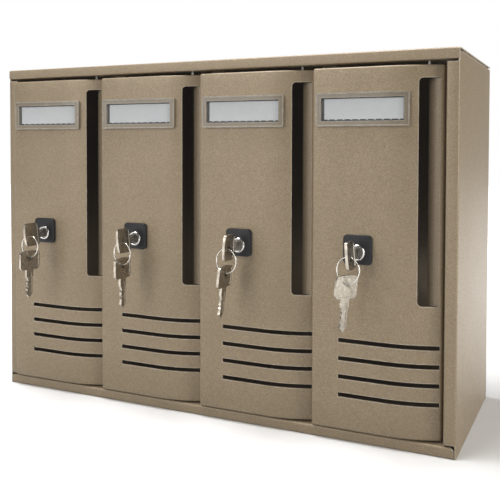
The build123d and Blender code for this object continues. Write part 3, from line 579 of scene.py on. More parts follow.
def face_outwards(bm, outward):
    """Make the normals agree, and point the face that looks most along `outward` that way."""
    bmesh.ops.recalc_face_normals(bm, faces=bm.faces[:])
    bm.normal_update()
    facing = sum(face.normal.dot(outward) * face.calc_area() for face in bm.faces)
    if facing < 0:
        bmesh.ops.reverse_faces(bm, faces=bm.faces[:])


def sliced(bm, faces, point, normal):
    """Faces cut by a plane; returns them all, cut ones included."""
    edges = {edge for face in faces for edge in face.edges}
    verts = {vert for face in faces for vert in face.verts}
    made = bmesh.ops.bisect_plane(bm, geom=[*faces, *edges, *verts], dist=NEAR / 10,
                                  plane_co=point, plane_no=normal)
    return faces_of(made["geom"])


CORNER_STEPS = 6


def window_faces(bm, faces, low, high, radius=0.0, corners=()):
    """The part of some upright faces inside a window in x and z, with rounded corners."""
    for point, normal in ((low, X), (high, X), (low, Z), (high, Z)):
        faces = sliced(bm, faces, point, normal)
    inside = []
    for face in faces:
        middle = face.calc_center_median()
        if low.x < middle.x < high.x and low.z < middle.z < high.z:
            inside.append(face)
    half_step = math.pi / 4 / CORNER_STEPS
    reach = radius * math.cos(half_step)
    for side, rise in corners:
        centre = Vector(((high.x - radius if side > 0 else low.x + radius), 0.0,
                         (high.z - radius if rise > 0 else low.z + radius)))
        for step in range(CORNER_STEPS):
            angle = (2 * step + 1) * half_step
            away = Vector((side * math.cos(angle), 0.0, rise * math.sin(angle)))
            inside = sliced(bm, inside, centre + away * reach, away)
        inside = [face for face in inside if not beyond(face, centre, side, rise, reach)]
    return inside


def beyond(face, centre, side, rise, reach):
    """Whether a face lies outside a rounded corner."""
    away = face.calc_center_median() - centre
    away.y = 0.0
    return side * away.x > 0 and rise * away.z > 0 and away.length > reach


def pushed(bm, faces, along):
    """Faces extruded along a vector, with walls round them; the old faces are removed."""
    made = bmesh.ops.extrude_face_region(bm, geom=faces)["geom"]
    bmesh.ops.translate(bm, verts=verts_of(made), vec=along)
    left = [face for face in faces if face.is_valid]
    if left:
        bmesh.ops.delete(bm, geom=left, context="FACES_ONLY")
    return faces_of(made)


def lathed(bm, profile, centre, closed, steps=64):
    """A profile of (radius, y) points spun once round an axis along y."""
    points = [Vector((centre.x + radius, y, centre.z)) for radius, y in profile]
    line = line_through(bm, points, closed)
    edges = {edge for vert in line for edge in vert.link_edges}
    bmesh.ops.spin(bm, geom=[*line, *edges], cent=centre, axis=Y, angle=2 * math.pi,
                   steps=steps, use_merge=True)
    bmesh.ops.remove_doubles(bm, verts=bm.verts[:], dist=NEAR)
    bmesh.ops.recalc_face_normals(bm, faces=bm.faces[:])


def new_piece(bm, name, material, body, replaced):
    """A finished bmesh as a piece that rides on a body and stands for CAD nodes."""
    mesh = bpy.data.meshes.new(name)
    bm.to_mesh(mesh)
    bm.free()
    mesh.materials.append(material)
    mesh.shade_smooth()
    piece = bpy.data.objects.new(name, mesh)
    bpy.context.scene.collection.objects.link(piece)
    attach(piece, body)
    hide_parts(*replaced)
    return piece


def thicken(piece, thickness):
    """Give a sheet its thickness, inwards from its outer skin."""
    solid = piece.modifiers.new("Sheet thickness", "SOLIDIFY")
    solid.thickness = thickness
    solid.offset = -1.0
    solid.use_even_offset = True


def soften(piece, width, segments=2, limit=35.0):
    """Round the sharp edges a little, so that they catch the light."""
    bevel = piece.modifiers.new("Softened edges", "BEVEL")
    bevel.width = width
    bevel.segments = segments
    bevel.limit_method = "ANGLE"
    bevel.angle_limit = math.radians(limit)
    bevel.harden_normals = True
    bevel.miter_outer = "MITER_ARC"


def dress(node, material):
    """Give a CAD node that stays its finished material."""
    slots = NODES[node].material_slots
    for slot in slots:
        slot.material = material


def material_named(name):
    """A material made before; stops if the materials operator has not run."""
    material = bpy.data.materials.get(name)
    if material is None:
        raise RuntimeError(f"run the materials operator first: {name} is missing")
    return material


# ---- Casing ----
def casing_top(sheet):
    """Top sheet: roof, front lip, and the channel folded back over the doors."""
    low, high = CAD_BOX
    low, high = Vector(low), Vector(high)
    front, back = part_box("top_panel")[0].y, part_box("top_panel")[1].y
    left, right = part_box("top_panel")[0].x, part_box("top_panel")[1].x
    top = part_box("top_panel")[1].z
    lip = top - sheet.top_lip
    bm = bmesh.new()
    section = [(back, top), (front, top), (front, lip), (front + sheet.channel, lip),
               (front + sheet.channel, lip + sheet.channel_turn)]
    points = [Vector((left, y, z)) for y, z in section]
    folded_sheet(bm, points, X * (right - left), [sheet.fold] * 3)
    channel_end = sheet.thickness * 1.1
    trim_channel(bm, front, left + channel_end, right - channel_end, top, sheet)
    face_outwards(bm, Z)
    piece = new_piece(bm, "casing_roof", material_named("champagne_powder_coat"), "casing",
                      ["top_panel"])
    thicken(piece, sheet.thickness)
    soften(piece, sheet.edge)
    add_ties("casing_roof_ties", top - sheet.thickness - sheet.tie_flange, sheet)


def trim_channel(bm, front, left, right, top, sheet):
    """Cut the channel behind the lip short at both ends, where the side panels stand."""
    behind = [face for face in bm.faces if is_channel(face, front, top, sheet)]
    for x in (left, right):
        behind = sliced(bm, behind, Vector((x, 0, 0)), X)
    ends = [face for face in behind if not left < face.calc_center_median().x < right]
    bmesh.ops.delete(bm, geom=ends, context="FACES")


def is_channel(face, front, top, sheet):
    """Whether a face of the top sheet belongs to the channel behind its lip."""
    middle = face.calc_center_median()
    return middle.y > front + sheet.fold and middle.z < top - sheet.fold


def slab(bm, low, high):
    """A block between two corners."""
    verts = bmesh.ops.create_cube(bm, size=1.0)["verts"]
    bmesh.ops.scale(bm, verts=verts, vec=high - low)
    bmesh.ops.translate(bm, verts=verts, vec=(high + low) / 2)


def add_ties(name, bottom, sheet):
    """The flanges under the roof or on the floor that the side panels are welded to."""
    low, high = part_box("top_panel")
    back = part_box("back_panel")[1].y - sheet.thickness - sheet.tie_flange - sheet.tie_end
    front = low.y + sheet.stop + sheet.tie_end
    bm = bmesh.new()
    for x in (low.x + sheet.thickness, high.x - 2 * sheet.thickness):
        slab(bm, Vector((x, front, bottom)),
             Vector((x + sheet.thickness, back, bottom + sheet.tie_flange)))
    piece = new_piece(bm, name, material_named("champagne_powder_coat"), "casing",
                      [])
    soften(piece, sheet.edge)


def casing_floor(sheet):
    """Bottom sheet: floor, front lip with rounded ends, and its channel."""
    low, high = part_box("bottom_panel")
    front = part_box("top_panel")[0].y
    bm = bmesh.new()
    section = [(front + sheet.channel, sheet.bottom_lip - sheet.channel_turn),
               (front + sheet.channel, sheet.bottom_lip), (front, sheet.bottom_lip),
               (front, 0.0), (high.y, 0.0)]
    points = [Vector((low.x, y, z)) for y, z in section]
    folded_sheet(bm, points, X * (high.x - low.x), [sheet.fold] * 3)
    round_lip_ends(bm, low.x + sheet.end_gap, high.x - sheet.end_gap, front, sheet)
    face_outwards(bm, -Z)
    piece = new_piece(bm, "casing_floor", material_named("champagne_powder_coat"), "casing",
                      ["bottom_panel"])
    thicken(piece, sheet.thickness)
    soften(piece, sheet.edge)
    add_ties("casing_floor_ties", 0.0, sheet)


def round_lip_ends(bm, left, right, front, sheet):
    """Cut the bottom lip short at both ends and round its upper corners."""
    lip = [face for face in bm.faces if is_lip(face, front, sheet)]
    half_step = math.pi / 4 / CORNER_STEPS
    reach = sheet.lip_corner * math.cos(half_step)
    for side, end in ((-1, left), (1, right)):
        lip = sliced(bm, lip, Vector((end, 0, 0)), X)
        centre = Vector((end - side * sheet.lip_corner, 0.0, sheet.bottom_lip - sheet.lip_corner))
        for step in range(CORNER_STEPS):
            angle = (2 * step + 1) * half_step
            away = Vector((side * math.cos(angle), 0.0, math.sin(angle)))
            lip = sliced(bm, lip, centre + away * reach, away)
        gone = [f for f in lip if beyond(f, centre, side, 1, reach)
                or side * (f.calc_center_median().x - end) > 0]
        bmesh.ops.delete(bm, geom=gone, context="FACES")
        lip = [face for face in lip if face.is_valid]


def is_lip(face, front, sheet):
    """Whether a face of the bottom sheet belongs to the lip or its channel."""
    middle = face.calc_center_median()
    return middle.z > NEAR and middle.y < front + sheet.channel + sheet.fold


def casing_side(sheet, name, node, sign, jamb_width):
    """Side sheet: rear flange, web, and the jamb strip folded in beside the doors."""
    low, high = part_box(node)
    outer, inner = (low.x, high.x) if sign > 0 else (high.x, low.x)
    front, back, top = low.y, high.y, high.z
    jamb = outer + sign * jamb_width
    section = [(outer + sign * sheet.rear_flange, back), (outer, back), (outer, front), (jamb, front),
               (jamb, front + sheet.stop)]
    folds = [sheet.fold] * 3
    if sign * (inner - outer) > sheet.rear_flange + sheet.thickness:
        section.append((inner, front + sheet.stop))
        folds.append(sheet.inner_fold)
    bm = bmesh.new()
    points = [Vector((x, y, 0.0)) for x, y in section]
    folded_sheet(bm, points, Z * top, folds)
    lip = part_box("top_panel")[1].z - sheet.top_lip
    zones = (sheet.bottom_lip + sheet.jamb_gap, lip - sheet.jamb_gap, lip)
    faces = bm.faces[:]
    for height in zones:
        faces = sliced(bm, faces, Vector((0, 0, height)), Z)
    gone = [f for f in faces if is_relieved(f, outer, front, sign, zones, sheet)]
    bmesh.ops.delete(bm, geom=gone, context="FACES")
    face_outwards(bm, -X * sign)
    piece = new_piece(bm, name, material_named("champagne_powder_coat"), "casing",
                      [node])
    thicken(piece, sheet.thickness)
    soften(piece, sheet.edge)


def is_relieved(face, outer, front, sign, zones, sheet):
    """Whether a face of a side sheet is cut away beside the lips."""
    middle = face.calc_center_median()
    if middle.y > front + sheet.stop + sheet.thickness:
        return False
    across = sign * (middle.x - outer)
    if middle.z > zones[2]:
        return middle.y < front + sheet.thickness or across > sheet.thickness
    if middle.z > zones[1] or middle.z < zones[0]:
        return across > sheet.thickness
    return False


# ---- Doors ----
def door_frame(index):
    """Corners of a door's panel, by which all of its pieces are placed."""
    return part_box(f"door_{index}_panel")


def curve_radius(door):
    """Radius of a door's curved part, from its width and its fall."""
    return (door.curve ** 2 + door.fall ** 2) / (2 * door.fall)


def skin_line(bm, index, door, left, right, z, out, steps=20):
    """Edges along the surface `out` in front of a door's face, from left to right, in row places."""
    low, high = door_frame(index)
    turn = high.x - door.curve
    radius = curve_radius(door)
    centre = Vector((turn, low.y + radius, z))
    line = [Vector((left, low.y - out, z)), Vector((turn, low.y - out, z))]
    verts = line_through(bm, line)
    if right > turn:
        sweep = math.asin((right - turn) / (radius + out))
        bmesh.ops.spin(bm, geom=[verts[-1]], cent=centre, axis=Z, angle=sweep, steps=steps)
    return bm.edges[:]


def front_faces(bm):
    """Faces that look to the front."""
    bm.normal_update()
    return [face for face in bm.faces if face.normal.y < -0.5]


def door_panel(index, door, sheet):
    """Door pressed from one sheet, with its slot, rolled flap and louvres."""
    low, high = door_frame(index)
    bm = bmesh.new()
    edges = skin_line(bm, index, door, low.x, high.x, low.z, 0.0)
    drawn_out(bm, edges, Z * (high.z - low.z))
    rim = [edge for edge in bm.edges if edge.is_boundary]
    made = bmesh.ops.extrude_edge_only(bm, edges=rim)["geom"]
    for vert in verts_of(made):
        vert.co.y = high.y
    face_outwards(bm, -Y)
    creases = [e for e in bm.edges if not e.is_boundary and e.calc_face_angle(0.0) > math.radians(50)]
    rounded_edges(bm, creases, sheet.fold)
    face_outwards(bm, -Y)
    cut_slot(bm, low, high, door)
    for row in range(door.louvres):
        bottom = low.z + door.louvre_bottom + row * door.louvre_pitch
        corner = Vector((low.x + door.louvre_left, 0, bottom))
        far = Vector((high.x - door.louvre_edge, 0, bottom + door.louvre_height))
        bmesh.ops.delete(bm, geom=window_faces(bm, front_faces(bm), corner, far), context="FACES")
    face_outwards(bm, -Y)
    piece = new_piece(bm, f"door_{index}_pressed_panel", material_named("champagne_powder_coat"),
                      f"door_{index}", [f"door_{index}_panel"])
    thicken(piece, sheet.thickness)
    soften(piece, sheet.edge)


def cut_slot(bm, low, high, door):
    """Cut the mail slot and roll its flap inwards from the hinge side; the flap's new vertices get a
    'recess' weight, by which the coat paints shade on it.
    """
    # Painted shade: this weight darkens the coat on the flap towards its shade colour.
    recess = bm.verts.layers.float.new("recess")
    right = high.x - door.slot_edge
    left = right - door.slot_width
    bottom, top = low.z + door.slot_bottom, high.z - door.slot_top
    corners = ((-1, -1), (-1, 1))
    slot = window_faces(bm, front_faces(bm), Vector((left, 0, bottom)), Vector((right, 0, top)),
                        door.slot_corner, corners)
    bmesh.ops.delete(bm, geom=slot, context="FACES")
    for z in (bottom + door.flap_gap, top - door.flap_gap):
        sliced(bm, front_faces(bm), Vector((0, 0, z)), Z)
    lip = [e for e in bm.edges if e.is_boundary and is_flap_root(e, right, bottom, top, door)]
    centre = lip[0].verts[0].co + Y * door.flap_radius
    verts = {vert for edge in lip for vert in edge.verts}
    before = set(bm.verts)
    bmesh.ops.spin(bm, geom=[*verts, *lip], cent=centre, axis=Z, angle=-door.flap_sweep, steps=10)
    # Mark the rolled flap's vertices for the painted shade.
    for vert in set(bm.verts) - before:
        vert[recess] = 1.0


def is_flap_root(edge, right, bottom, top, door):
    """Whether an edge lies on the slot's hinge side, where the flap starts."""
    slack = door.flap_gap / 2
    return all(abs(v.co.x - right) < 10 * NEAR and bottom + slack < v.co.z < top - slack
               for v in edge.verts)


# ---- Name holders ----
def holder_shell(index, door, out, low, high, depth):
    """A band of moulding that follows the door's face, `out` in front of it and `depth` deep."""
    bm = bmesh.new()
    edges = skin_line(bm, index, door, low.x, high.x, low.z, out, 10)
    drawn_out(bm, edges, Z * (high.z - low.z))
    face_outwards(bm, -Y)
    bmesh.ops.solidify(bm, geom=bm.faces[:], thickness=depth)
    bmesh.ops.recalc_face_normals(bm, faces=bm.faces[:])
    return bm


def holder_window(holder, low, high):
    """Corners of the window in a holder."""
    edge = Vector((holder.rim, 0.0, holder.rim))
    return low + edge, high - edge


def name_holder(index, door, holder):
    """Smoky holder: a band with a raised rim round an open window."""
    low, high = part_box(f"door_{index}_name_holder")
    bm = holder_shell(index, door, holder.thickness, low, high, holder.thickness)
    rounded_edges(bm, [e for e in bm.edges if is_corner(e, low, high)], holder.corner)
    bm.normal_update()
    bead = Vector((holder.bead, 0.0, holder.bead))
    near, far = holder_window(holder, low, high)
    ring = window_faces(bm, front_faces(bm), low + bead, high - bead)
    pushed(bm, ring, Y * holder.bead_rise)
    bm.normal_update()
    window = window_faces(bm, front_faces(bm), near, far)
    bmesh.ops.delete(bm, geom=window, context="FACES")
    bm.normal_update()
    behind = window_faces(bm, [face for face in bm.faces if face.normal.y > 0.5], near, far)
    bmesh.ops.delete(bm, geom=behind, context="FACES")
    open_edges = [edge for edge in bm.edges if edge.is_boundary]
    bmesh.ops.bridge_loops(bm, edges=open_edges)
    bmesh.ops.recalc_face_normals(bm, faces=bm.faces[:])
    piece = new_piece(bm, f"door_{index}_holder_band", material_named("smoky_moulding"),
                      f"door_{index}", [f"door_{index}_name_holder"])
    soften(piece, holder.bead / 3, 3)


def is_corner(edge, low, high):
    """Whether an edge runs from front to back at one of the holder's four corners."""
    run = edge.verts[0].co - edge.verts[1].co
    middle = (edge.verts[0].co + edge.verts[1].co) / 2
    at_side = min(abs(middle.x - low.x), abs(middle.x - high.x)) < 0.001
    at_end = min(abs(middle.z - low.z), abs(middle.z - high.z)) < NEAR * 10
    return abs(run.y) > 0.9 * run.length and at_side and at_end


def window_pane(index, door, holder):
    """Thin clear pane that closes the holder's window."""
    low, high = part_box(f"door_{index}_name_holder")
    near, far = holder_window(holder, low, high)
    out = holder.thickness - holder.recess
    bm = holder_shell(index, door, out, near, far, holder.pane)
    new_piece(bm, f"door_{index}_window_pane", material_named("clear_pane"),
              f"door_{index}", [])


def card_shadow_sheet(index, door, holder):
    """Black sheet behind the card, as painted shadow in the gap round it."""
    low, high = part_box(f"door_{index}_name_holder")
    near, far = holder_window(holder, low, high)
    bm = holder_shell(index, door, holder.shadow_sheet, near, far, holder.shadow_sheet)
    new_piece(bm, f"door_{index}_card_liner", material_named("satin_black_moulding"),
              f"door_{index}", [])


def name_card(index, door, holder):
    """Blank white card with the nubs of its tear-off edge along the bottom."""
    low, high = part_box(f"door_{index}_name_holder")
    near, far = holder_window(holder, low, high)
    near += Vector((holder.card_side, 0.0, holder.card_end))
    far -= Vector((holder.card_end, 0.0, holder.card_end))
    out = door_frame(index)[0].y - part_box(f"door_{index}_name_card")[0].y
    bm = bmesh.new()
    edges = skin_line(bm, index, door, near.x, far.x, near.z, out, 8)
    drawn_out(bm, edges, Z * (far.z - near.z))
    face_outwards(bm, -Y)
    count = int((far.x - near.x) / holder.nub_pitch)
    first = (far.x - near.x - (count - 1) * holder.nub_pitch) / 2
    nubs = [near.x + first + number * holder.nub_pitch for number in range(count)]
    starts = [near.x - holder.nub_width] + [x + holder.nub_width / 2 for x in nubs]
    ends = [x - holder.nub_width / 2 for x in nubs] + [far.x + holder.nub_width]
    for start, end in zip(starts, ends):
        corner = Vector((start, 0, near.z - holder.nub_height))
        other = Vector((end, 0, near.z + holder.nub_height))
        cut = window_faces(bm, front_faces(bm), corner, other)
        bmesh.ops.delete(bm, geom=cut, context="FACES")
    face_outwards(bm, -Y)
    piece = new_piece(bm, f"door_{index}_blank_card", material_named("card_stock"),
                      f"door_{index}", [f"door_{index}_name_card"])
    thicken(piece, holder.card)
    piece.data.shade_flat()


# ---- Locks ----
def lock_plate(index, lock):
    """Black square plate with rounded corners and a sloped rim."""
    low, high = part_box(f"door_{index}_lock_plate")
    bm = bmesh.new()
    bmesh.ops.create_cube(bm, size=1.0)
    bmesh.ops.scale(bm, verts=bm.verts[:], vec=high - low)
    bmesh.ops.translate(bm, verts=bm.verts[:], vec=(high + low) / 2)
    upright = [e for e in bm.edges if abs((e.verts[0].co - e.verts[1].co).y) > NEAR]
    rounded_edges(bm, upright, lock.plate_corner, 8)
    bm.normal_update()
    face = min(bm.faces, key=lambda f: f.calc_center_median().y)
    rounded_edges(bm, face.edges[:], lock.plate_bevel, 3)
    piece = new_piece(bm, f"door_{index}_escutcheon", material_named("satin_black_moulding"),
                      f"door_{index}", [f"door_{index}_lock_plate"])
    soften(piece, 0.00015)


def lock_barrel(index, lock):
    """Plated barrel: rounded flange in front, body and bore behind."""
    low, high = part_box(f"door_{index}_lock_barrel")
    centre = Vector(((low.x + high.x) / 2, 0.0, (low.z + high.z) / 2))
    flange = (high.x - low.x) / 2
    seat = low.y + lock.flange
    crown = 0.0007
    profile = [(lock.bore, low.y + crown / 2), (lock.bore + crown / 2, low.y),
               (flange - crown, low.y), (flange, low.y + crown), (flange, seat),
               (lock.body, seat), (lock.body, high.y), (lock.bore, high.y)]
    bm = bmesh.new()
    lathed(bm, profile, centre, True)
    piece = new_piece(bm, f"door_{index}_barrel", material_named("bright_chrome"),
                      f"door_{index}", [f"door_{index}_lock_barrel"])
    soften(piece, 0.00025, 3)


# ---- Keys ----
CUT_DEPTHS = (0.0012, 0.0006, 0.0015, 0.0009)


def key_outline(key):
    """The key's outline, from the shoulder at the origin: tip towards +y, bow towards -y."""
    half, neck, bow = key.blade_width / 2, key.neck_width / 2, key.bow_width / 2
    inner = -key.neck_length
    outer = inner - key.bow_length
    points = [(0, half), (0, neck), (inner, neck), (inner, bow)]
    for part in (1.0, 0.6, 0.2, -0.2, -0.6, -1.0):
        points.append((outer + key.crown * part ** 2, bow * part))
    points += [(inner, -bow), (inner, -neck), (0, -neck), (0, -half)]
    first = (key.blade_length - key.point - (len(CUT_DEPTHS) - 1) * key.cut_pitch) / 2
    for number, depth in enumerate(CUT_DEPTHS):
        y = first + number * key.cut_pitch
        points += [(y - key.cut_flat / 2, depth - half), (y + key.cut_flat / 2, depth - half)]
        if number < len(CUT_DEPTHS) - 1:
            points.append((y + key.cut_pitch / 2, key.cut_flat / 2 - half))
    tip = key.blade_length - key.point
    return points + [(tip, -half), (key.blade_length, 0), (tip, half)]


def key_mesh(key):
    """A key in its own coordinates: bordered bow with a hole, grooved and cut blade."""
    side = key.thickness / 2
    bm = bmesh.new()
    line_through(bm, [Vector((side, y, z)) for y, z in key_outline(key)], True)
    bmesh.ops.contextual_create(bm, geom=bm.edges[:])
    inner = -key.neck_length
    bow_half = key.bow_width / 2
    outer = [v for v in bm.verts if abs(abs(v.co.z) - bow_half) < NEAR and v.co.y < inner - NEAR]
    bmesh.ops.bevel(bm, geom=outer, offset=key.outer_corner, segments=5, profile=0.5,
                    affect="VERTICES", material=-1)
    near = [v for v in bm.verts if abs(abs(v.co.z) - bow_half) < NEAR and abs(v.co.y - inner) < NEAR]
    bmesh.ops.bevel(bm, geom=near, offset=key.inner_corner, segments=5, profile=0.5,
                    affect="VERTICES", material=-1)
    face_outwards(bm, X)
    faces = sliced(bm, bm.faces[:], Vector((0, inner, 0)), Y)
    bow = min(faces, key=lambda f: f.calc_center_median().y)
    rest = [face for face in faces if face is not bow]
    groove_blade(bm, rest, key)
    bmesh.ops.inset_region(bm, faces=[bow], thickness=key.border, use_boundary=True,
                           use_even_offset=True)
    bmesh.ops.inset_region(bm, faces=[bow], thickness=key.border_rise, depth=-key.border_rise,
                           use_even_offset=True)
    pierce_bow(bm, bow, key)
    rim = [edge for edge in bm.edges if edge.is_boundary]
    for vert in verts_of(bmesh.ops.extrude_edge_only(bm, edges=rim)["geom"]):
        vert.co.x = 0.0
    bmesh.ops.mirror(bm, geom=[*bm.verts, *bm.edges, *bm.faces], merge_dist=NEAR, axis="X")
    bmesh.ops.remove_doubles(bm, verts=bm.verts[:], dist=NEAR)
    bmesh.ops.recalc_face_normals(bm, faces=bm.faces[:])
    return bm


def groove_blade(bm, faces, key):
    """Mill the groove along one half of the blade."""
    start, end = -key.neck_length / 2, key.blade_length - key.point
    low, high = key.groove / 2, key.groove * 1.5
    for point, normal in ((Vector((0, start, 0)), Y), (Vector((0, end, 0)), Y),
                          (Vector((0, 0, low)), Z), (Vector((0, 0, high)), Z)):
        faces = sliced(bm, faces, point, normal)
    channel = []
    for face in faces:
        middle = face.calc_center_median()
        if start < middle.y < end and low < middle.z < high:
            channel.append(face)
    pushed(bm, channel, -X * key.groove_depth)


def pierce_bow(bm, bow, key):
    """Cut the ring's hole through the bow's face."""
    hole = -key.neck_length - key.bow_length + key.hole_inset
    depth = bow.verts[0].co.x
    border = bow.edges[:]
    bmesh.ops.delete(bm, geom=[bow], context="FACES_ONLY")
    place = Matrix.Translation((depth, hole, 0)) @ Matrix.Rotation(math.pi / 2, 4, "Y")
    circle = bmesh.ops.create_circle(bm, segments=28, radius=key.hole, matrix=place)
    loop = {edge for vert in circle["verts"] for edge in vert.link_edges}
    bmesh.ops.bridge_loops(bm, edges=[*border, *loop])


def ring_place(index):
    """Where the ring hangs in the lock key's hole, and how it leans."""
    pivot = Vector(JOINTS[f"ring_{index}_swing"]["pos_m"])
    return Matrix.Translation(pivot) @ Matrix.Rotation(HANG_LEANS[index - 1], 4, "Y")


def ring_radius(index):
    """Radius of the ring, from the two joints at its top and bottom."""
    top = Vector(JOINTS[f"ring_{index}_swing"]["pos_m"])
    bottom = Vector(JOINTS[f"spare_{index}_swing"]["pos_m"])
    return (top - bottom).length / 2


def lock_key(index, key):
    """The key that stands in the lock."""
    pivot = Vector(JOINTS[f"ring_{index}_swing"]["pos_m"])
    axis = Vector(JOINTS[f"lock_{index}_turn"]["pos_m"])
    hole = key.hole_inset - key.neck_length - key.bow_length
    place = Matrix.Translation((axis.x, pivot.y - hole, axis.z))
    bm = key_mesh(key)
    bm.transform(place @ Matrix.Rotation(KEY_TURNS[index - 1], 4, "Y"))
    piece = new_piece(bm, f"door_{index}_standing_key", material_named("key_nickel"),
                      f"lock_{index}", [f"door_{index}_key"])
    soften(piece, 0.00016)


def spare_key(index, key):
    """The spare key that hangs tip down from the ring."""
    pivot = Vector(JOINTS[f"ring_{index}_swing"]["pos_m"])
    axis = Vector(JOINTS[f"lock_{index}_turn"]["pos_m"])
    hole = key.hole_inset - key.neck_length - key.bow_length
    drop = 2 * ring_radius(index) + axis.z - pivot.z
    hung = Matrix.Rotation(-math.pi / 2, 4, "X") @ Matrix.Translation((0, -hole, 0))
    turn = Matrix.Rotation(SPARE_TURNS[index - 1], 4, "Z")
    bm = key_mesh(key)
    bm.transform(ring_place(index) @ Matrix.Translation((0, 0, -drop)) @ turn @ hung)
    piece = new_piece(bm, f"door_{index}_hanging_key", material_named("key_nickel"),
                      f"spare_{index}", [f"door_{index}_spare_key"])
    soften(piece, 0.00016)


RING_TURNS_OF_WIRE = 2
RING_STEPS = 160


def split_ring(index, key):
    """Split ring of two turns of flattened wire."""
    radius = ring_radius(index)
    bm = bmesh.new()
    bmesh.ops.create_circle(bm, segments=12, radius=0.5)
    bmesh.ops.scale(bm, verts=bm.verts[:], vec=(key.wire_width, key.wire, 1.0))
    start = -key.wire * RING_TURNS_OF_WIRE / 4
    bmesh.ops.translate(bm, verts=bm.verts[:], vec=(radius, start, 0.0))
    sweep = 2 * math.pi * RING_TURNS_OF_WIRE
    step = Y * (key.wire * (RING_TURNS_OF_WIRE - 1) / RING_STEPS)
    bmesh.ops.spin(bm, geom=[*bm.verts, *bm.edges], cent=(0, 0, 0), axis=Y, dvec=step,
                   angle=sweep, steps=RING_STEPS)
    bmesh.ops.holes_fill(bm, edges=[e for e in bm.edges if e.is_boundary], sides=0)
    bmesh.ops.recalc_face_normals(bm, faces=bm.faces[:])
    turn = Matrix.Rotation(RING_TURNS[index - 1], 4, "Z")
    bm.transform(ring_place(index) @ turn @ Matrix.Translation((0, 0, -radius)))
    new_piece(bm, f"door_{index}_split_ring", material_named("ring_wire"),
              f"ring_{index}", [f"door_{index}_key_ring"])


# ---- Stage ----
def add_area(name, place, target, size, power, tint):
    """A square soft light aimed at a point."""
    lamp = bpy.data.lights.new(name, "AREA")
    lamp.shape = "SQUARE"
    lamp.size = size
    lamp.energy = power
    lamp.color = tint
    holder = bpy.data.objects.new(name, lamp)
    holder.location = place
    aim = Vector(target) - Vector(place)
    holder.rotation_euler = aim.to_track_quat("-Z", "Y").to_euler()
    bpy.context.scene.collection.objects.link(holder)


def add_point(name, place, radius, power, tint):
    """A small soft light at a point."""
    lamp = bpy.data.lights.new(name, "POINT")
    lamp.shadow_soft_size = radius
    lamp.energy = power
    lamp.color = tint
    holder = bpy.data.objects.new(name, lamp)
    holder.location = place
    bpy.context.scene.collection.objects.link(holder)


def add_world(strength):
    """Even sky: white where the camera sees it, softer as a light."""
    world = bpy.data.worlds.new("studio")
    bpy.context.scene.world = world
    world.use_nodes = True
    tree = world.node_tree
    shade = tree.nodes["Background"]
    shade.inputs["Color"].default_value = (1.0, 1.0, 1.0, 1.0)
    path = tree.nodes.new("ShaderNodeLightPath")
    level = ranged(tree, path.outputs["Is Camera Ray"], 0.0, 1.0, strength, 1.0)
    link(tree, level, shade.inputs["Strength"])


def add_camera(stage):
    """The camera, in front of the unit and to its right, tipped slightly down."""
    data = bpy.data.cameras.new("camera")
    data.lens = stage.lens
    data.shift_y = stage.shift
    data.clip_start = 0.01
    camera = bpy.data.objects.new("camera", data)
    turn = Matrix.Rotation(stage.yaw, 4, "Z") @ Matrix.Rotation(math.pi / 2 - stage.pitch, 4, "X")
    turn = turn @ Matrix.Rotation(stage.roll, 4, "Z")
    camera.matrix_world = Matrix.Translation(stage.camera) @ turn
    bpy.context.scene.collection.objects.link(camera)
    bpy.context.scene.camera = camera


def add_floor(stage):
    """Round matt floor that the unit stands on."""
    bm = bmesh.new()
    bmesh.ops.create_circle(bm, cap_ends=True, segments=96, radius=stage.floor)
    bmesh.ops.translate(bm, verts=bm.verts[:], vec=(0, 0, -FLOOR_DROP))
    mesh = bpy.data.meshes.new("floor")
    bm.to_mesh(mesh)
    bm.free()
    mesh.materials.append(material_named("studio_floor"))
    floor = bpy.data.objects.new("floor", mesh)
    bpy.context.scene.collection.objects.link(floor)
    floor.visible_diffuse = False


# ---- Operators ----
class LETTERBOX_OT_materials(bpy.types.Operator):
    """Make every finish, and put finishes on the CAD pieces that stay"""
    bl_idname = "letterbox.materials"
    bl_label = "Finishes"

    def execute(self, context):
        """Build the node groups and materials once."""
        bank = context.scene
        edge_wear_and_highlight_group()
        grain_group()
        brushed_group()
        coat = powder_coat(bank.letterbox_coat)
        black_plastic(bank.letterbox_lock)
        smoky_moulding(bank.letterbox_holder)
        clear_pane()
        card_paper(bank.letterbox_holder)
        plated_metal("bright_chrome", bank.letterbox_lock.chrome, 0.06, 0.20, 900.0, 0.0002)
        plated_metal("key_nickel", bank.letterbox_key.nickel, 0.22, 0.40, 1500.0, 0.0002)
        plated_metal("ring_wire", bank.letterbox_key.steel, 0.14, 0.30, 1500.0, 0.0001)
        zinc = plated_metal("zinc_plate", bank.letterbox_lock.zinc, 0.28, 0.48, 700.0, 0.0003)
        plug = plated_metal("dull_plug", bank.letterbox_lock.plug, 0.25, 0.42, 1200.0, 0.0002)
        floor_paint()
        for node in ("back_panel", *(name for name in NODES if name.startswith("partition"))):
            dress(node, coat)
        for node in NODES:
            if node.endswith(("_lock_nut", "_cam", "_cam_screw", "_pins", "_rivets")):
                dress(node, zinc)
            if node.endswith("_lock_plug"):
                dress(node, plug)
        return {"FINISHED"}


class LETTERBOX_OT_casing(bpy.types.Operator):
    """Fold the casing's roof, floor and side sheets"""
    bl_idname = "letterbox.casing"
    bl_label = "Casing"

    def execute(self, context):
        """Build the four visible sheets."""
        sheet = context.scene.letterbox_sheet
        casing_top(sheet)
        casing_floor(sheet)
        casing_side(sheet, "casing_left_side", "left_side_panel", 1, sheet.left_jamb)
        casing_side(sheet, "casing_right_side", "right_side_panel", -1, sheet.right_jamb)
        return {"FINISHED"}


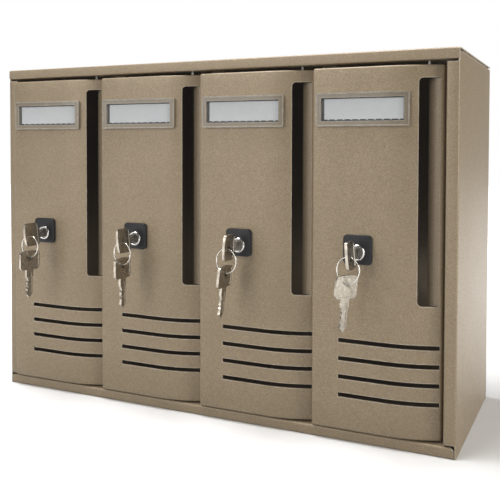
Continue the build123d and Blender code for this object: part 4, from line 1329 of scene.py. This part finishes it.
class LETTERBOX_OT_doors(bpy.types.Operator):
    """Press the doors with their mail slots and louvres"""
    bl_idname = "letterbox.doors"
    bl_label = "Doors"

    def execute(self, context):
        """Build every door panel."""
        for index in range(1, DOOR_COUNT + 1):
            door_panel(index, context.scene.letterbox_door, context.scene.letterbox_sheet)
        return {"FINISHED"}


class LETTERBOX_OT_holders(bpy.types.Operator):
    """Mould the name holders and cut their cards"""
    bl_idname = "letterbox.holders"
    bl_label = "Name holders"

    def execute(self, context):
        """Build every holder and card."""
        for index in range(1, DOOR_COUNT + 1):
            name_holder(index, context.scene.letterbox_door, context.scene.letterbox_holder)
            card_shadow_sheet(index, context.scene.letterbox_door, context.scene.letterbox_holder)
            name_card(index, context.scene.letterbox_door, context.scene.letterbox_holder)
            window_pane(index, context.scene.letterbox_door, context.scene.letterbox_holder)
        return {"FINISHED"}


class LETTERBOX_OT_locks(bpy.types.Operator):
    """Make the black lock plates and plated barrels"""
    bl_idname = "letterbox.locks"
    bl_label = "Locks"

    def execute(self, context):
        """Build every plate and barrel."""
        for index in range(1, DOOR_COUNT + 1):
            lock_plate(index, context.scene.letterbox_lock)
            lock_barrel(index, context.scene.letterbox_lock)
        return {"FINISHED"}


class LETTERBOX_OT_keys(bpy.types.Operator):
    """Cut the keys and wind their split rings"""
    bl_idname = "letterbox.keys"
    bl_label = "Keys"

    def execute(self, context):
        """Build both keys and the ring of every door."""
        key = context.scene.letterbox_key
        for index in range(1, DOOR_COUNT + 1):
            lock_key(index, key)
            split_ring(index, key)
            spare_key(index, key)
        return {"FINISHED"}


class LETTERBOX_OT_stage(bpy.types.Operator):
    """Set up the camera, the soft lights and the floor"""
    bl_idname = "letterbox.stage"
    bl_label = "Stage"

    def execute(self, context):
        """Build the studio."""
        stage = context.scene.letterbox_stage
        view = context.scene.view_settings
        view.view_transform = "Standard"
        view.use_curve_mapping = True
        view.curve_mapping.black_level = [BLACK_LEVEL] * 3
        add_world(stage.sky)
        add_camera(stage)
        add_floor(stage)
        for name, place, size, tint in LIGHTS:
            add_area(f"{name}_light", place, AIM, size, getattr(stage, name), tint)
        for index in range(1, DOOR_COUNT + 1):
            low, high = door_frame(index)
            inside = ((low.x + high.x) / 2, 0.03, low.z + (high.z - low.z) / 3)
            add_point(f"inside_light_{index}", inside, 0.02, stage.inside, (0.94, 0.96, 1.0))
        return {"FINISHED"}


class LETTERBOX_PT_bank(bpy.types.Panel):
    """Settings and steps of the letter box bank"""
    bl_idname = "LETTERBOX_PT_bank"
    bl_label = "Letter Box Bank"
    bl_space_type = "VIEW_3D"
    bl_region_type = "UI"
    bl_category = "Letter Boxes"

    def draw(self, context):
        """List each step with its settings."""
        for operator, name in STEPS:
            column = self.layout.column(align=True)
            column.operator(operator.bl_idname)
            settings = getattr(context.scene, name)
            for label in type(settings).__annotations__:
                column.prop(settings, label)


SETTINGS = {
    "letterbox_sheet": SheetSettings,
    "letterbox_door": DoorSettings,
    "letterbox_holder": HolderSettings,
    "letterbox_lock": LockSettings,
    "letterbox_key": KeySettings,
    "letterbox_coat": CoatSettings,
    "letterbox_stage": StageSettings,
}
STEPS = (
    (LETTERBOX_OT_materials, "letterbox_coat"),
    (LETTERBOX_OT_stage, "letterbox_stage"),
    (LETTERBOX_OT_casing, "letterbox_sheet"),
    (LETTERBOX_OT_doors, "letterbox_door"),
    (LETTERBOX_OT_holders, "letterbox_holder"),
    (LETTERBOX_OT_locks, "letterbox_lock"),
    (LETTERBOX_OT_keys, "letterbox_key"),
)


def register():
    """Register the settings, operators and panel."""
    for name, group in SETTINGS.items():
        bpy.utils.register_class(group)
        setattr(bpy.types.Scene, name, PointerProperty(type=group))
    for operator, _ in STEPS:
        bpy.utils.register_class(operator)
    bpy.utils.register_class(LETTERBOX_PT_bank)


def unregister():
    """Undo register, last first."""
    bpy.utils.unregister_class(LETTERBOX_PT_bank)
    for operator, _ in reversed(STEPS):
        bpy.utils.unregister_class(operator)
    for name, group in reversed(SETTINGS.items()):
        delattr(bpy.types.Scene, name)
        bpy.utils.unregister_class(group)


def main():
    """Build everything in order."""
    register()
    bpy.ops.letterbox.materials()
    bpy.ops.letterbox.stage()
    bpy.ops.letterbox.casing()
    bpy.ops.letterbox.doors()
    bpy.ops.letterbox.holders()
    bpy.ops.letterbox.locks()
    bpy.ops.letterbox.keys()


if __name__ == "__main__":
    main()
